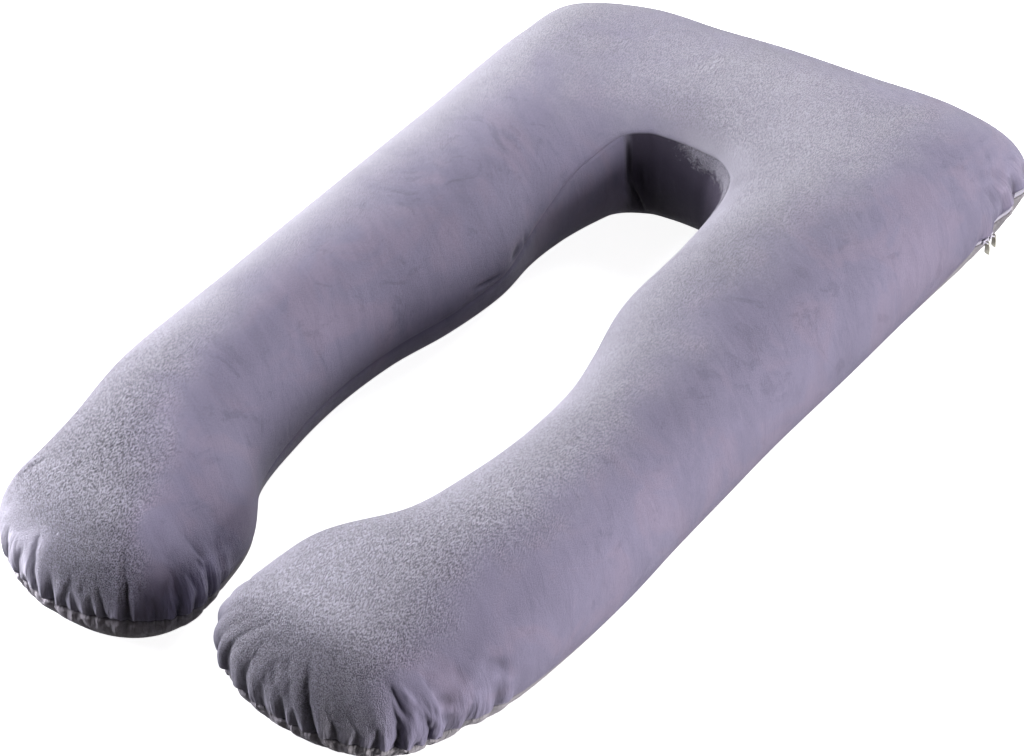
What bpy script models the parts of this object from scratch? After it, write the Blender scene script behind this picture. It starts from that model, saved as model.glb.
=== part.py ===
"""Body pillow: a tightly filled U of two velvet panels sewn together round the edge, with a
zip in the seam at one head corner.

Frame: +Z up, +Y from the leg ends towards the head bar, +X to the right. The origin is the
middle of the footprint on the surface that the pillow lies on. Lengths are in metres,
angles in degrees.
"""
import math

import bmesh
import bpy
import numpy as np
from mathutils import Matrix, Vector

# Half of the pillow as cuts across it, from a leg end to the middle of the head bar.
# out and in are the outer and the inner edge, r and l the right and the left half, and crown
# is the cut's highest point. seam_out and seam_in say how far round the section the seam sits
# below (-) or above (+) its widest level. wall is 1 where the inner side is a creased wall.
# steps are the columns from this cut to the next, right half and left half.
CUTS = (
    # name       steps  out_r  out_l  out_y   in_r   in_l   in_y    crown  seam_out seam_in wall
    ("leg end",     8, 8, 0.340, 0.341, -0.612, 0.005, 0.026, -0.600, 0.178, -17.0, -17.0, 0.00),
    ("lobe",        5, 5, 0.375, 0.349, -0.510, 0.027, 0.049, -0.497, 0.192, -20.0, -17.0, 0.00),
    ("lobe back",   3, 3, 0.385, 0.366, -0.400, 0.102, 0.106, -0.404, 0.196, -32.0, -15.0, 0.00),
    ("calf",        3, 3, 0.385, 0.369, -0.285, 0.128, 0.129, -0.295, 0.194, -38.0, -10.0, 0.00),
    ("knee",        3, 3, 0.380, 0.369, -0.170, 0.139, 0.136, -0.194, 0.190, -38.0, -10.0, 0.00),
    ("waist",       3, 3, 0.377, 0.373, -0.055, 0.135, 0.126, -0.094, 0.186, -38.0, -10.0, 0.00),
    ("thigh",       3, 3, 0.376, 0.376, 0.060, 0.116, 0.103, 0.000, 0.186, -38.0, -5.0, 0.00),
    ("upper leg",   3, 3, 0.378, 0.377, 0.185, 0.091, 0.093, 0.097, 0.189, -38.0, 0.0, 0.00),
    ("hole side",   4, 3, 0.380, 0.375, 0.310, 0.087, 0.101, 0.175, 0.191, -38.0, 8.0, 0.05),
    ("shoulder",    8, 4, 0.380, 0.376, 0.425, 0.091, 0.099, 0.240, 0.193, -30.0, 14.0, 0.25),
    ("corner side", 8, 5, 0.380, 0.376, 0.540, 0.096, 0.092, 0.306, 0.193, -5.0, 20.0, 0.60),
    ("corner",      6, 5, 0.362, 0.358, 0.650, 0.087, 0.083, 0.355, 0.192, 0.0, 25.0, 0.90),
    ("corner back", 4, 4, 0.262, 0.250, 0.698, 0.058, 0.056, 0.380, 0.191, -10.0, 28.0, 1.00),
    ("back",        3, 3, 0.130, 0.123, 0.702, 0.029, 0.029, 0.385, 0.191, -24.0, 28.0, 1.00),
    ("middle",      0, 0, 0.000, 0.000, 0.706, 0.000, 0.000, 0.386, 0.191, -30.0, 28.0, 1.00),
)
LEG_REACH_RIGHT = 0.102        # leg end past its last cut
LEG_REACH_LEFT = 0.123
LEG_END_ROUND = 2.2            # 2 would be an ellipse, more is squarer
LEG_END_SEAM = -17.0
HEAD_SKEW = 0.052              # the right head corner lies this much further back, the left one less
HEAD_SKEW_FROM = 0.25          # y where the skew starts
HEAD_SKEW_OVER = 0.35
HALF_WIDTH = 0.37

WIDEST_LEVEL = 0.081           # height at which a plain section is widest
CROWN_ROUND = 2.1
FLOOR_INSET = 0.45             # share of the half width that curves off the floor
WALL_SEAM_LEVEL = 0.150        # height of the seam on top of the creased wall
WALL_BULGE = 0.018
WALL_FOOT = 0.030

SEAM_DEPTH = 0.0025            # the stitching draws the cover in by this much
SEAM_LIP = 0.007
SEAM_HALF = 0.0008
SLOT_DEPTH = 0.0035            # the zip lies in a slot in the seam
SLOT_HALF = 0.0065
SLOT_LIP = 0.0012

LEG_END_STEPS = 44             # columns round a leg end
ABOVE = (1.0, 0.88, 0.76, 0.64, 0.52, 0.40, 0.29, 0.19, 0.10)
BELOW = (-0.25, -0.45, -0.65, -0.83, -1.0)

# Gathers, where the panels are eased onto the seam. along runs anticlockwise round the edge,
# seen from above, from the middle of its place; rise is the share of the way to the ridge.
GATHERS = (
    # place         along   depth  width  rise
    ("left end",   -0.215, 0.006, 0.010, 0.22),
    ("left end",   -0.155, 0.006, 0.011, 0.30),
    ("left end",   -0.118, 0.004, 0.011, 0.30),
    ("left end",   -0.078, 0.006, 0.010, 0.38),
    ("left end",   -0.046, 0.007, 0.011, 0.44),
    ("left end",   -0.012, 0.006, 0.010, 0.40),
    ("left end",    0.022, 0.004, 0.010, 0.34),
    ("left end",    0.052, 0.005, 0.012, 0.42),
    ("left end",    0.088, 0.007, 0.010, 0.46),
    ("left end",    0.124, 0.004, 0.012, 0.34),
    ("left end",    0.156, 0.006, 0.010, 0.40),
    ("left end",    0.212, 0.006, 0.013, 0.58),
    ("right end",  -0.175, 0.004, 0.010, 0.36),
    ("right end",  -0.148, 0.006, 0.010, 0.42),
    ("right end",  -0.108, 0.008, 0.011, 0.44),
    ("right end",  -0.072, 0.005, 0.010, 0.46),
    ("right end",  -0.034, 0.003, 0.012, 0.34),
    ("right end",   0.008, 0.005, 0.010, 0.30),
    ("right end",   0.036, 0.008, 0.011, 0.52),
    ("right end",   0.084, 0.003, 0.012, 0.34),
    ("right end",   0.122, 0.005, 0.013, 0.42),
    ("right end",   0.158, 0.006, 0.011, 0.42),
    ("right end",   0.196, 0.004, 0.011, 0.34),
    ("right end",   0.246, 0.006, 0.010, 0.26),
    ("zip corner", -0.088, 0.004, 0.016, 0.30),
    ("zip corner", -0.022, 0.004, 0.014, 0.24),
    ("zip corner",  0.045, 0.004, 0.014, 0.22),
)
GATHER_LOBE = 0.5              # the cloth between two gathers stands proud by this share
LOBE_AWAY = 1.8
GATHER_UNDER = 0.75            # how far down the bottom panel a gather fades out
NUDGE = 0.01                   # step of the section over which its slope is taken
MERGE = 0.00001

ZIP_CORNER = 11                # the cut at the head corner, where the zip gathers are counted from
ZIP_FROM = 9.78                # places among the cuts, counted from the right leg end
ZIP_TO = 13.0
TAPE_HEIGHT = 0.0110
TAPE_THICK = 0.0012
TAPE_GAP = 0.0006
CHAIN_HEIGHT = 0.0045
CHAIN_THICK = 0.0018
CHAIN_GAP = 0.0004

SLIDER_LENGTH = 0.0105
SLIDER_WIDTH = 0.0085
SLIDER_NOSE = 0.0060
SLIDER_PLATE = 0.0016
SLIDER_GAP = 0.0014
BRIDGE_LENGTH = 0.0080
BRIDGE_WIDTH = 0.0016
BRIDGE_RISE = 0.0050
WINDOW_RISE = 0.0036
WINDOW_LENGTH = 0.0056
SLIDERS = (
    # name   columns from the zip's start, turn of its pull about the vertical
    ("lower", 2.0, 0.0),
    ("upper", 3.0, 30.0),
)
PULL_OUTLINE = (
    # down    half width
    (0.0000, 0.0021),
    (0.0010, 0.0031),
    (0.0065, 0.0031),
    (0.0080, 0.0044),
    (0.0205, 0.0044),
    (0.0220, 0.0032),
)
PULL_THICK = 0.0014
PULL_DROP = 0.0015             # the eye's top wall clears the middle of the bridge by this much
EYE_WALL = 0.0011
EYE_HOLE_WIDTH = 0.0040
EYE_HOLE_LENGTH = 0.0046

VELVET = (0.335, 0.318, 0.415)
TAPE_CLOTH = (0.80, 0.79, 0.83)
CHAIN_PLASTIC = (0.74, 0.72, 0.80)
PULL_METAL = (0.42, 0.41, 0.35)


def clear_scene():
    for thing in list(bpy.data.objects):
        bpy.data.objects.remove(thing, do_unlink=True)


def make_material(name, colour, roughness, metallic):
    material = bpy.data.materials.new(name)
    material.use_nodes = True
    shader = material.node_tree.nodes["Principled BSDF"]
    shader.inputs["Base Color"].default_value = (*colour, 1.0)
    shader.inputs["Roughness"].default_value = roughness
    shader.inputs["Metallic"].default_value = metallic
    return material


def add_object(name, bm, material):
    mesh = bpy.data.meshes.new(name)
    bmesh.ops.recalc_face_normals(bm, faces=bm.faces[:])
    bm.to_mesh(mesh)
    bm.free()
    mesh.materials.append(material)
    piece = bpy.data.objects.new(name, mesh)
    bpy.context.scene.collection.objects.link(piece)
    return piece


# ---------------------------------------------------------------- the plan of the pillow

def half_cuts(side):
    """The cuts of one half as rows: outer x, y, inner x, y, crown, seams out and in, wall."""
    rows = []
    for _, _, _, out_r, out_l, out_y, in_r, in_l, in_y, *section in CUTS:
        out_x, in_x = (out_r, in_r) if side == "right" else (-out_l, -in_l)
        rows.append((out_x, skewed(out_x, out_y), in_x, skewed(in_x, in_y), *section))
    return rows


def skewed(x, y):
    share = min(max((y - HEAD_SKEW_FROM) / HEAD_SKEW_OVER, 0.0), 1.0)
    return y + HEAD_SKEW * share * x / HALF_WIDTH


def all_cuts():
    """Every column across the pillow, from the right leg end to the left one, read from a smooth
    curve through the cuts. Each row starts with its place among the cuts."""
    rows = np.array(half_cuts("right") + half_cuts("left")[-2::-1])
    steps = [cut[1] for cut in CUTS[:-1]] + [cut[2] for cut in CUTS[-2::-1]]
    ends = np.vstack([2 * rows[0] - rows[1], rows, 2 * rows[-1] - rows[-2]])
    result = []
    for k, count in enumerate(steps):
        a, b, c, d = ends[k:k + 4]
        for t in np.arange(count) / count:
            row = b + 0.5 * t * (c - a + t * (2 * a - 5 * b + 4 * c - d + t * (3 * b - a - 3 * c + d)))
            result.append([k + t, *row])
    result.append([len(steps), *rows[-1]])
    return np.array(result)


def leg_end(start, finish, ridge, heading, reach):
    """Points of the round end of a leg, from one side's edge to the other's."""
    points = []
    for k in range(1, LEG_END_STEPS):
        angle = math.pi * k / LEG_END_STEPS
        across = abs(math.cos(angle)) ** (2 / LEG_END_ROUND)
        forward = math.sin(angle) ** (2 / LEG_END_ROUND)
        side = start if math.cos(angle) > 0 else finish
        points.append(ridge + (side - ridge) * across + heading * reach * forward)
    return points


def unit(vector):
    return vector / np.linalg.norm(vector)


class Outline:
    """The pillow's edge as columns: the edge point, the ridge point inside it, and its section.

    Columns run up the right outer edge, round the head, down the left outer edge, round the
    left leg end, back along the inner edge, and round the right leg end.
    """

    def __init__(self):
        cuts = all_cuts()
        self.cut_place, cuts = cuts[:, 0], cuts[:, 1:]
        outer, inner = cuts[:, 0:2], cuts[:, 2:4]
        ridge = (outer + inner) / 2
        last = len(cuts) - 1
        edge, top, section = [], [], []

        def add(edge_point, ridge_point, crown, seam, wall):
            edge.append(edge_point)
            top.append(ridge_point)
            section.append((crown, seam, wall))

        def add_leg_end(start, finish, at, before, reach):
            heading = unit(ridge[at] - ridge[before])
            for point in leg_end(start, finish, ridge[at], heading, reach):
                add(point, ridge[at], cuts[at, 4], LEG_END_SEAM, 0.0)

        for k in range(last + 1):
            add(outer[k], ridge[k], cuts[k, 4], cuts[k, 5], 0.0)
        add_leg_end(outer[last], inner[last], last, last - 1, LEG_REACH_LEFT)
        for k in range(last, -1, -1):
            add(inner[k], ridge[k], cuts[k, 4], cuts[k, 6], min(max(cuts[k, 7], 0.0), 1.0))
        add_leg_end(inner[0], outer[0], 0, 1, LEG_REACH_RIGHT)

        self.edge, self.ridge = np.array(edge), np.array(top)
        self.crown, self.seam, self.wall = np.array(section).T
        self.seam = np.radians(self.seam)
        self.half = np.linalg.norm(self.ridge - self.edge, axis=1)
        self.inward = (self.ridge - self.edge) / self.half[:, None]
        self.count = len(self.edge)
        self.middles = {
            "left end": last + LEG_END_STEPS / 2,
            "right end": self.count - LEG_END_STEPS / 2,
            "zip corner": self.column_at(ZIP_CORNER),
        }
        step = np.linalg.norm(np.roll(self.edge, -1, axis=0) - self.edge, axis=1)
        self.length = np.concatenate([[0.0], np.cumsum(step)])

    def column_at(self, cut_place):
        """The outer edge's column at a place among the cuts."""
        return np.interp(cut_place, self.cut_place, np.arange(len(self.cut_place)))

    def distance_from(self, place):
        """Each column's distance along the edge from a place, negative before it."""
        whole = self.length[-1]
        middle = np.interp(self.middles[place], np.arange(self.count + 1), self.length)
        away = self.length[:-1] - middle
        return (away + whole / 2) % whole - whole / 2

    def to_world(self, point):
        """Inward distance and height of each column to x, y and z."""
        plan = self.edge + self.inward * point[:, :1]
        return np.column_stack([plan, point[:, 1]])


# ---------------------------------------------------------------- the section

def plain_section(outline, t):
    """A round section that curves in to the floor: share of the way to the ridge, and height."""
    towards = math.pi / 2 * np.sign(t)
    angle = outline.seam + abs(t) * (towards - outline.seam)
    rise = np.clip(np.sin(angle), 0.0, 1.0)
    drop = np.clip(-np.sin(angle), 0.0, 1.0)
    turn = np.clip(np.cos(angle), 0.0, 1.0)
    crown_height = (outline.crown - WIDEST_LEVEL) * rise ** (2 / CROWN_ROUND)
    above = angle >= 0
    share = np.where(above, 1 - turn ** (2 / CROWN_ROUND), FLOOR_INSET * (1 - turn))
    height = np.where(above, WIDEST_LEVEL + crown_height, WIDEST_LEVEL * (1 - drop))
    return share, height


def wall_section(outline, t):
    """The creased side at the closed end of the U: a bulging wall under a sloping top."""
    if t >= 0:
        share = t ** 1.1
        height = WALL_SEAM_LEVEL + (outline.crown - WALL_SEAM_LEVEL) * (1 - (1 - share) ** 2.2)
        return share, height
    bulge = WALL_BULGE * math.sin(math.pi * min(-t / 0.85, 1.0))
    foot = WALL_FOOT * max((-t - 0.7) / 0.3, 0.0) ** 2
    return (foot - bulge) / outline.half, WALL_SEAM_LEVEL * (1 + t) ** 1.15


def section(outline, t):
    """Inward distance and height of each column at t: 1 on the ridge, 0 on the seam, -1 where
    the cover meets the floor."""
    share, height = plain_section(outline, t)
    wall_share, wall_height = wall_section(outline, t)
    share = share + (wall_share - share) * outline.wall
    height = height + (wall_height - height) * outline.wall
    return np.column_stack([share * outline.half, height])


def directions(outline, low, high):
    """The section's upward direction between two values of t, and its inward normal."""
    up = section(outline, high) - section(outline, low)
    up /= np.linalg.norm(up, axis=1)[:, None]
    return up, np.column_stack([up[:, 1], -up[:, 0]])


def gather_depth(outline, t):
    """How far the gathers draw the cover in at t, for each column."""
    depth = np.zeros(outline.count)
    for place, along, deep, width, rise in GATHERS:
        fade = max(1 - abs(t) / (rise if t >= 0 else GATHER_UNDER), 0.0) ** 1.5
        across = (outline.distance_from(place) - along) / width
        valley = np.exp(-across ** 2)
        lobes = np.exp(-(abs(across) - LOBE_AWAY) ** 2)
        depth += deep * fade * (valley - GATHER_LOBE * lobes)
    return depth


def cover_ring(outline, t):
    """One ring of the cover, with its gathers, as x, y and z."""
    _, normal = directions(outline, max(t - NUDGE, -1.0), min(t + NUDGE, 1.0))
    point = section(outline, t) + gather_depth(outline, t)[:, None] * normal
    return outline.to_world(point)


def zip_columns(outline):
    """The first column of the zip's slot and the one past its last."""
    first = round(float(outline.column_at(ZIP_FROM)))
    return first, round(float(outline.column_at(ZIP_TO))) + 1


def zip_share(outline):
    """1 for the columns that hold the zip's slot, 0 for the rest."""
    share = np.zeros(outline.count)
    first, end = zip_columns(outline)
    share[first:end] = 1.0
    return share


def seam_offset(outline, up_by, in_by):
    """Points beside the seam: up_by along the cover and in_by into it, for each column."""
    above, _ = directions(outline, 0.0, NUDGE)
    below, _ = directions(outline, -NUDGE, 0.0)
    _, normal = directions(outline, -NUDGE, NUDGE)
    up_by = np.broadcast_to(up_by, (outline.count,))[:, None]
    along_cover = np.where(up_by > 0, above, below) * up_by
    inwards = gather_depth(outline, 0.0) + in_by
    return outline.to_world(section(outline, 0.0) + along_cover + inwards[:, None] * normal)


def seam_rings(outline):
    """The seam's four rings: a lip on each side of a narrow groove, or of the zip's slot."""
    share = zip_share(outline)
    half = SEAM_HALF + (SLOT_HALF - SEAM_HALF) * share
    lip = SEAM_LIP + (SLOT_HALF + SLOT_LIP - SEAM_LIP) * share
    deep = SEAM_DEPTH + (SLOT_DEPTH - SEAM_DEPTH) * share
    return [seam_offset(outline, lip, 0.0), seam_offset(outline, half, deep),
            seam_offset(outline, -half, deep), seam_offset(outline, -lip, 0.0)]


# ---------------------------------------------------------------- the pieces

def loft(rings, close_ends):
    """A skin through rings of as many points each, extruded from one ring to the next."""
    bm = bmesh.new()
    column = bm.verts.layers.int.new("column")
    start = bmesh.ops.create_circle(bm, segments=len(rings[0]), radius=1.0)["verts"]
    for k, vert in enumerate(start):
        vert[column] = k
        vert.co = rings[0][k]
    edges = bm.edges[:]
    for points in rings[1:]:
        made = bmesh.ops.extrude_edge_only(bm, edges=edges)["geom"]
        verts = {g for g in made if isinstance(g, bmesh.types.BMVert)}
        for vert in verts:
            vert.co = points[vert[column]]
        edges = [g for g in made if isinstance(g, bmesh.types.BMEdge) and set(g.verts) <= verts]
    if close_ends:
        bmesh.ops.holes_fill(bm, edges=bm.edges[:])
    else:
        bmesh.ops.remove_doubles(bm, verts=bm.verts[:], dist=MERGE)
    return bm


def make_pillow(outline, velvet):
    """Both panels and the filling, as one closed form from the ridge down to the flat underside."""
    rings = [cover_ring(outline, t) for t in ABOVE]
    rings += seam_rings(outline)
    rings += [cover_ring(outline, t) for t in BELOW]
    rings.append(np.column_stack([outline.ridge, np.zeros(outline.count)]))
    return add_object("pillow_cover", loft(rings, close_ends=False), velvet)


def make_zip_strip(name, outline, height, outside, thick, material):
    """A strip along the zip's slot; outside is how far its face lies inside the seam line."""
    first, end = zip_columns(outline)
    corners = [seam_offset(outline, up_by, in_by)[first + 1:end - 1]
               for up_by, in_by in ((height / 2, outside), (height / 2, outside + thick),
                                    (-height / 2, outside + thick), (-height / 2, outside))]
    rings = list(np.stack(corners, axis=1))
    return add_object(name, loft(rings, close_ends=True), material)


def zip_frame(outline, columns, outside):
    """Place on the zip, columns from its start: along it, up across it and out of the cover."""
    line = seam_offset(outline, 0.0, outside)
    behind = seam_offset(outline, 0.0, outside + SLOT_DEPTH)
    column = zip_columns(outline)[0] + columns
    k = int(column)
    share = column - k
    place = Vector(line[k] * (1 - share) + line[k + 1] * share)
    inner = Vector(behind[k] * (1 - share) + behind[k + 1] * share)
    along = Vector(line[k + 1] - line[k]).normalized()
    out = (place - inner).normalized()
    up = out.cross(along).normalized()
    out = along.cross(up)
    frame = Matrix((along, up, out)).transposed().to_4x4()
    frame.translation = place
    return frame


def box_mesh(size, centre):
    bm = bmesh.new()
    bmesh.ops.create_cube(bm, size=1.0)
    bmesh.ops.scale(bm, vec=size, verts=bm.verts[:])
    bmesh.ops.translate(bm, vec=centre, verts=bm.verts[:])
    return bm


def cut_or_join(piece, name, bm, operation, frame):
    """Add or take away a box with a Boolean; the box itself is a guide and no part."""
    guide = add_object(name, bm, piece.data.materials[0])
    guide.matrix_world = frame
    guide.hide_render = True
    guide.display_type = "WIRE"
    boolean = piece.modifiers.new(name, "BOOLEAN")
    boolean.operation = operation
    boolean.object = guide


def make_slider(name, frame, metal):
    """A wedge-shaped plate over the chain with a bridge on it, open across for the pull."""
    bm = box_mesh((SLIDER_LENGTH, SLIDER_WIDTH, SLIDER_PLATE), (0, 0, SLIDER_PLATE / 2))
    for vert in bm.verts:
        if vert.co.x > 0:
            vert.co.y *= SLIDER_NOSE / SLIDER_WIDTH
    slider = add_object(name, bm, metal)
    slider.matrix_world = frame
    bridge_low = SLIDER_PLATE / 2
    bridge_high = SLIDER_PLATE + BRIDGE_RISE
    bridge = box_mesh((BRIDGE_LENGTH, BRIDGE_WIDTH, bridge_high - bridge_low),
                      (0, 0, (bridge_low + bridge_high) / 2))
    cut_or_join(slider, name + "_bridge", bridge, "UNION", frame)
    window = box_mesh((WINDOW_LENGTH, 2 * BRIDGE_WIDTH, WINDOW_RISE),
                      (0, 0, SLIDER_PLATE + WINDOW_RISE / 2))
    cut_or_join(slider, name + "_window", window, "DIFFERENCE", frame)
    return slider


def make_pull(name, slider_frame, turn, metal):
    """A flat pull that hangs straight down, its eye threaded by the slider's bridge."""
    bm = bmesh.new()
    left = [bm.verts.new((-half, -down, 0)) for down, half in PULL_OUTLINE]
    right = [bm.verts.new((half, -down, 0)) for down, half in PULL_OUTLINE[::-1]]
    sheet = bm.faces.new(left + right)
    made = bmesh.ops.extrude_face_region(bm, geom=[sheet])["geom"]
    moved = [g for g in made if isinstance(g, bmesh.types.BMVert)]
    bmesh.ops.translate(bm, vec=(0, 0, PULL_THICK), verts=moved)
    bmesh.ops.translate(bm, vec=(0, 0, -PULL_THICK / 2), verts=bm.verts[:])
    pull = add_object(name, bm, metal)
    bar = slider_frame @ Vector((0, 0, SLIDER_PLATE + (WINDOW_RISE + BRIDGE_RISE) / 2))
    along = slider_frame.to_3x3() @ Vector((1, 0, 0))
    face = Vector((along.x, along.y, 0)).normalized()
    face.rotate(Matrix.Rotation(math.radians(turn), 3, "Z"))
    side = Vector((0, 0, 1)).cross(face)
    hang = Matrix((side, Vector((0, 0, 1)), face)).transposed().to_4x4()
    hang.translation = bar + Vector((0, 0, EYE_WALL + PULL_DROP))
    pull.matrix_world = hang
    hole = box_mesh((EYE_HOLE_WIDTH, EYE_HOLE_LENGTH, 2 * PULL_THICK),
                    (0, -EYE_WALL - EYE_HOLE_LENGTH / 2, 0))
    cut_or_join(pull, name + "_eye", hole, "DIFFERENCE", hang)


def centre_on_origin():
    """Put the middle of the whole footprint on the origin."""
    bpy.context.view_layer.update()
    pieces = [thing for thing in bpy.data.objects if not thing.hide_render]
    corners = np.array([thing.matrix_world @ vert.co for thing in pieces for vert in thing.data.vertices])
    middle = (corners.min(axis=0) + corners.max(axis=0)) / 2
    for thing in bpy.data.objects:
        thing.location.x -= middle[0]
        thing.location.y -= middle[1]


def main():
    clear_scene()
    velvet = make_material("velvet", VELVET, 0.85, 0.0)
    tape_cloth = make_material("zip_tape_cloth", TAPE_CLOTH, 0.8, 0.0)
    chain_plastic = make_material("zip_chain_plastic", CHAIN_PLASTIC, 0.4, 0.0)
    metal = make_material("zip_metal", PULL_METAL, 0.35, 1.0)
    outline = Outline()
    make_pillow(outline, velvet)
    tape_face = SLOT_DEPTH - TAPE_GAP - TAPE_THICK
    chain_face = tape_face - CHAIN_GAP - CHAIN_THICK
    make_zip_strip("zip_tape", outline, TAPE_HEIGHT, tape_face, TAPE_THICK, tape_cloth)
    make_zip_strip("zip_chain", outline, CHAIN_HEIGHT, chain_face, CHAIN_THICK, chain_plastic)
    for name, columns, turn in SLIDERS:
        frame = zip_frame(outline, columns, chain_face - SLIDER_GAP)
        make_slider("zip_slider_" + name, frame, metal)
        make_pull("zip_pull_" + name, frame, turn, metal)
    centre_on_origin()


main()
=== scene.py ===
"""Dresses the body pillow: a tightly filled U of short-pile velvet, with its edge seam, the
gathers at its leg ends and the zip at its right head corner.

The file is laid out as an add-on: property groups hold the sizes and colours, one operator makes
each piece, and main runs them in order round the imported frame. Lengths are in metres.
"""

import math

import bmesh
import bpy
import numpy as np
from bpy.props import FloatProperty, FloatVectorProperty, IntProperty, PointerProperty
from mathutils import Matrix, Vector


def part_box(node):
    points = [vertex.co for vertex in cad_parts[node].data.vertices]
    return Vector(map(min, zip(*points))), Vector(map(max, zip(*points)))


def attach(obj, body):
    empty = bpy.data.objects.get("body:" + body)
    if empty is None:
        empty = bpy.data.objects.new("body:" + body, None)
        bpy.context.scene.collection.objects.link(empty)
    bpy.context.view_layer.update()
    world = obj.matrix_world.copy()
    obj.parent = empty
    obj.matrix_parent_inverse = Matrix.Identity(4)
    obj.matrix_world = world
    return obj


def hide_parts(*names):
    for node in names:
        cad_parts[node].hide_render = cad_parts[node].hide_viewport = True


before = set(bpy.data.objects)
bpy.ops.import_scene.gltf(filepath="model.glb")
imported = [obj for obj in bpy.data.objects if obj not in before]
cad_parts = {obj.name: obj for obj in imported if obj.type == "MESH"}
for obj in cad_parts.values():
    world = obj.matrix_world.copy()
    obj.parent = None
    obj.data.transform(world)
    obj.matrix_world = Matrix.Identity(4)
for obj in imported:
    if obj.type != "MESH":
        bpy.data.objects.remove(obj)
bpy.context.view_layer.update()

bl_info = {
    "name": "Body Pillow",
    "version": (1, 0, 0),
    "blender": (4, 5, 0),
    "location": "View3D > Sidebar > Body Pillow",
    "description": "Makes a U-shaped velvet body pillow with gathered ends and a zip",
    "category": "Object",
}

# Half of the pillow as cuts across it, from a leg end to the middle of the head bar.
# out and in are the outer and the inner edge, r and l the right and the left half, and crown
# is the cut's highest point. seam_out and seam_in say how far round the section the seam sits
# below (-) or above (+) its widest level, in degrees. wall is 1 where the inner side is a wall.
CUTS = (
    # name          out_r  out_l  out_y   in_r   in_l   in_y    crown  seam_out seam_in wall
    ("leg end",     0.340, 0.341, -0.612, 0.017, 0.026, -0.600, 0.178, -17.0, -17.0, 0.00),
    ("lobe",        0.375, 0.349, -0.510, 0.034, 0.049, -0.497, 0.192, -20.0, -17.0, 0.00),
    ("lobe back",   0.385, 0.366, -0.400, 0.102, 0.106, -0.404, 0.196, -32.0, -15.0, 0.00),
    ("calf",        0.385, 0.369, -0.285, 0.128, 0.129, -0.295, 0.194, -38.0, -10.0, 0.00),
    ("knee",        0.380, 0.369, -0.170, 0.139, 0.136, -0.194, 0.190, -38.0, -10.0, 0.00),
    ("waist",       0.377, 0.373, -0.055, 0.135, 0.126, -0.094, 0.186, -38.0, -10.0, 0.00),
    ("thigh",       0.376, 0.376, 0.060, 0.116, 0.103, 0.000, 0.186, -38.0, -5.0, 0.00),
    ("upper leg",   0.378, 0.377, 0.185, 0.091, 0.093, 0.097, 0.189, -38.0, 0.0, 0.00),
    ("hole side",   0.380, 0.375, 0.310, 0.087, 0.101, 0.175, 0.191, -38.0, 8.0, 0.05),
    ("shoulder",    0.380, 0.376, 0.425, 0.091, 0.099, 0.240, 0.193, -30.0, 14.0, 0.25),
    ("corner side", 0.380, 0.376, 0.540, 0.096, 0.092, 0.306, 0.193, -5.0, 20.0, 0.60),
    ("corner",      0.362, 0.358, 0.650, 0.087, 0.083, 0.355, 0.192, 0.0, 25.0, 0.90),
    ("corner back", 0.262, 0.250, 0.698, 0.058, 0.056, 0.380, 0.191, -10.0, 28.0, 1.00),
    ("back",        0.130, 0.123, 0.702, 0.029, 0.029, 0.385, 0.191, -24.0, 28.0, 1.00),
    ("middle",      0.000, 0.000, 0.706, 0.000, 0.000, 0.386, 0.191, -30.0, 28.0, 1.00),
)
LEG_REACH = {"right": 0.102, "left": 0.123}   # how far a leg's end goes past its last cut
LEG_END_ROUND = 2.2            # 2 is a half ellipse, more is squarer
LEG_END_SEAM = -17.0

# How far the seam wanders up (+) or down (-) the section. Here and below, along is a distance
# along the edge from the middle of its place, anticlockwise seen from above.
SEAM_SHIFTS = (
    # place        along  over   degrees
    ("left end",   0.09,  0.08,  9.0),
    ("right end",  0.00,  0.16,  -7.0),
    ("right end",  0.20,  0.10,  -9.0),
    ("hole",       -0.19, 0.07,  7.0),
    ("zip corner", -0.13, 0.045, -4.0),
)
HEAD_SKEW = 0.052              # the head's right corner is set back and its left one forward
HEAD_SKEW_FROM = 0.25
HEAD_SKEW_OVER = 0.35
HALF_WIDTH = 0.37
WIDEST_LEVEL = 0.081           # height at which the pillow is widest
CROWN_ROUND = 2.1              # 2 is an ellipse, more is squarer
FLOOR_INSET = 0.45             # the bottom panel curves in by this share of the half width
FEWEST_COLUMNS = 4             # from one cut to the next
ZIP_CORNER = 11                # the cut at whose outer edge the zip turns the corner

# The wall at the hole's closed end and the top above it.
WALL_SEAM_LEVEL = 0.165
WALL_BULGE = 0.018
WALL_BULGE_DOWN = 0.85         # share of the way down the wall that bulges
WALL_FOOT = 0.030
WALL_FOOT_FROM, WALL_FOOT_OVER = 0.7, 0.3   # shares of the way down over which the foot runs in
WALL_DROP = 1.15
WALL_TOP_INWARDS = 1.1
WALL_TOP_ROUND = 2.2

SECTION_STEPS = 160            # samples of a section from which its rings are read
SECTION_EASE = 1.3             # more than 1 crowds the samples near the seam
LEAST_SHRINK, MOST_SHRINK = 0.05, 1.5  # how close the columns come, as a share of the edge's

# Rings of the cover, counted from the seam: distances near it, then shares of the rest.
NEAR_SEAM = (0.0006, 0.0018, 0.0034, 0.0055, 0.0080)
ABOVE_RINGS = 42
BELOW_RINGS = 22
RING_EASE = 1.25               # more than 1 crowds the rings near the seam

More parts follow.
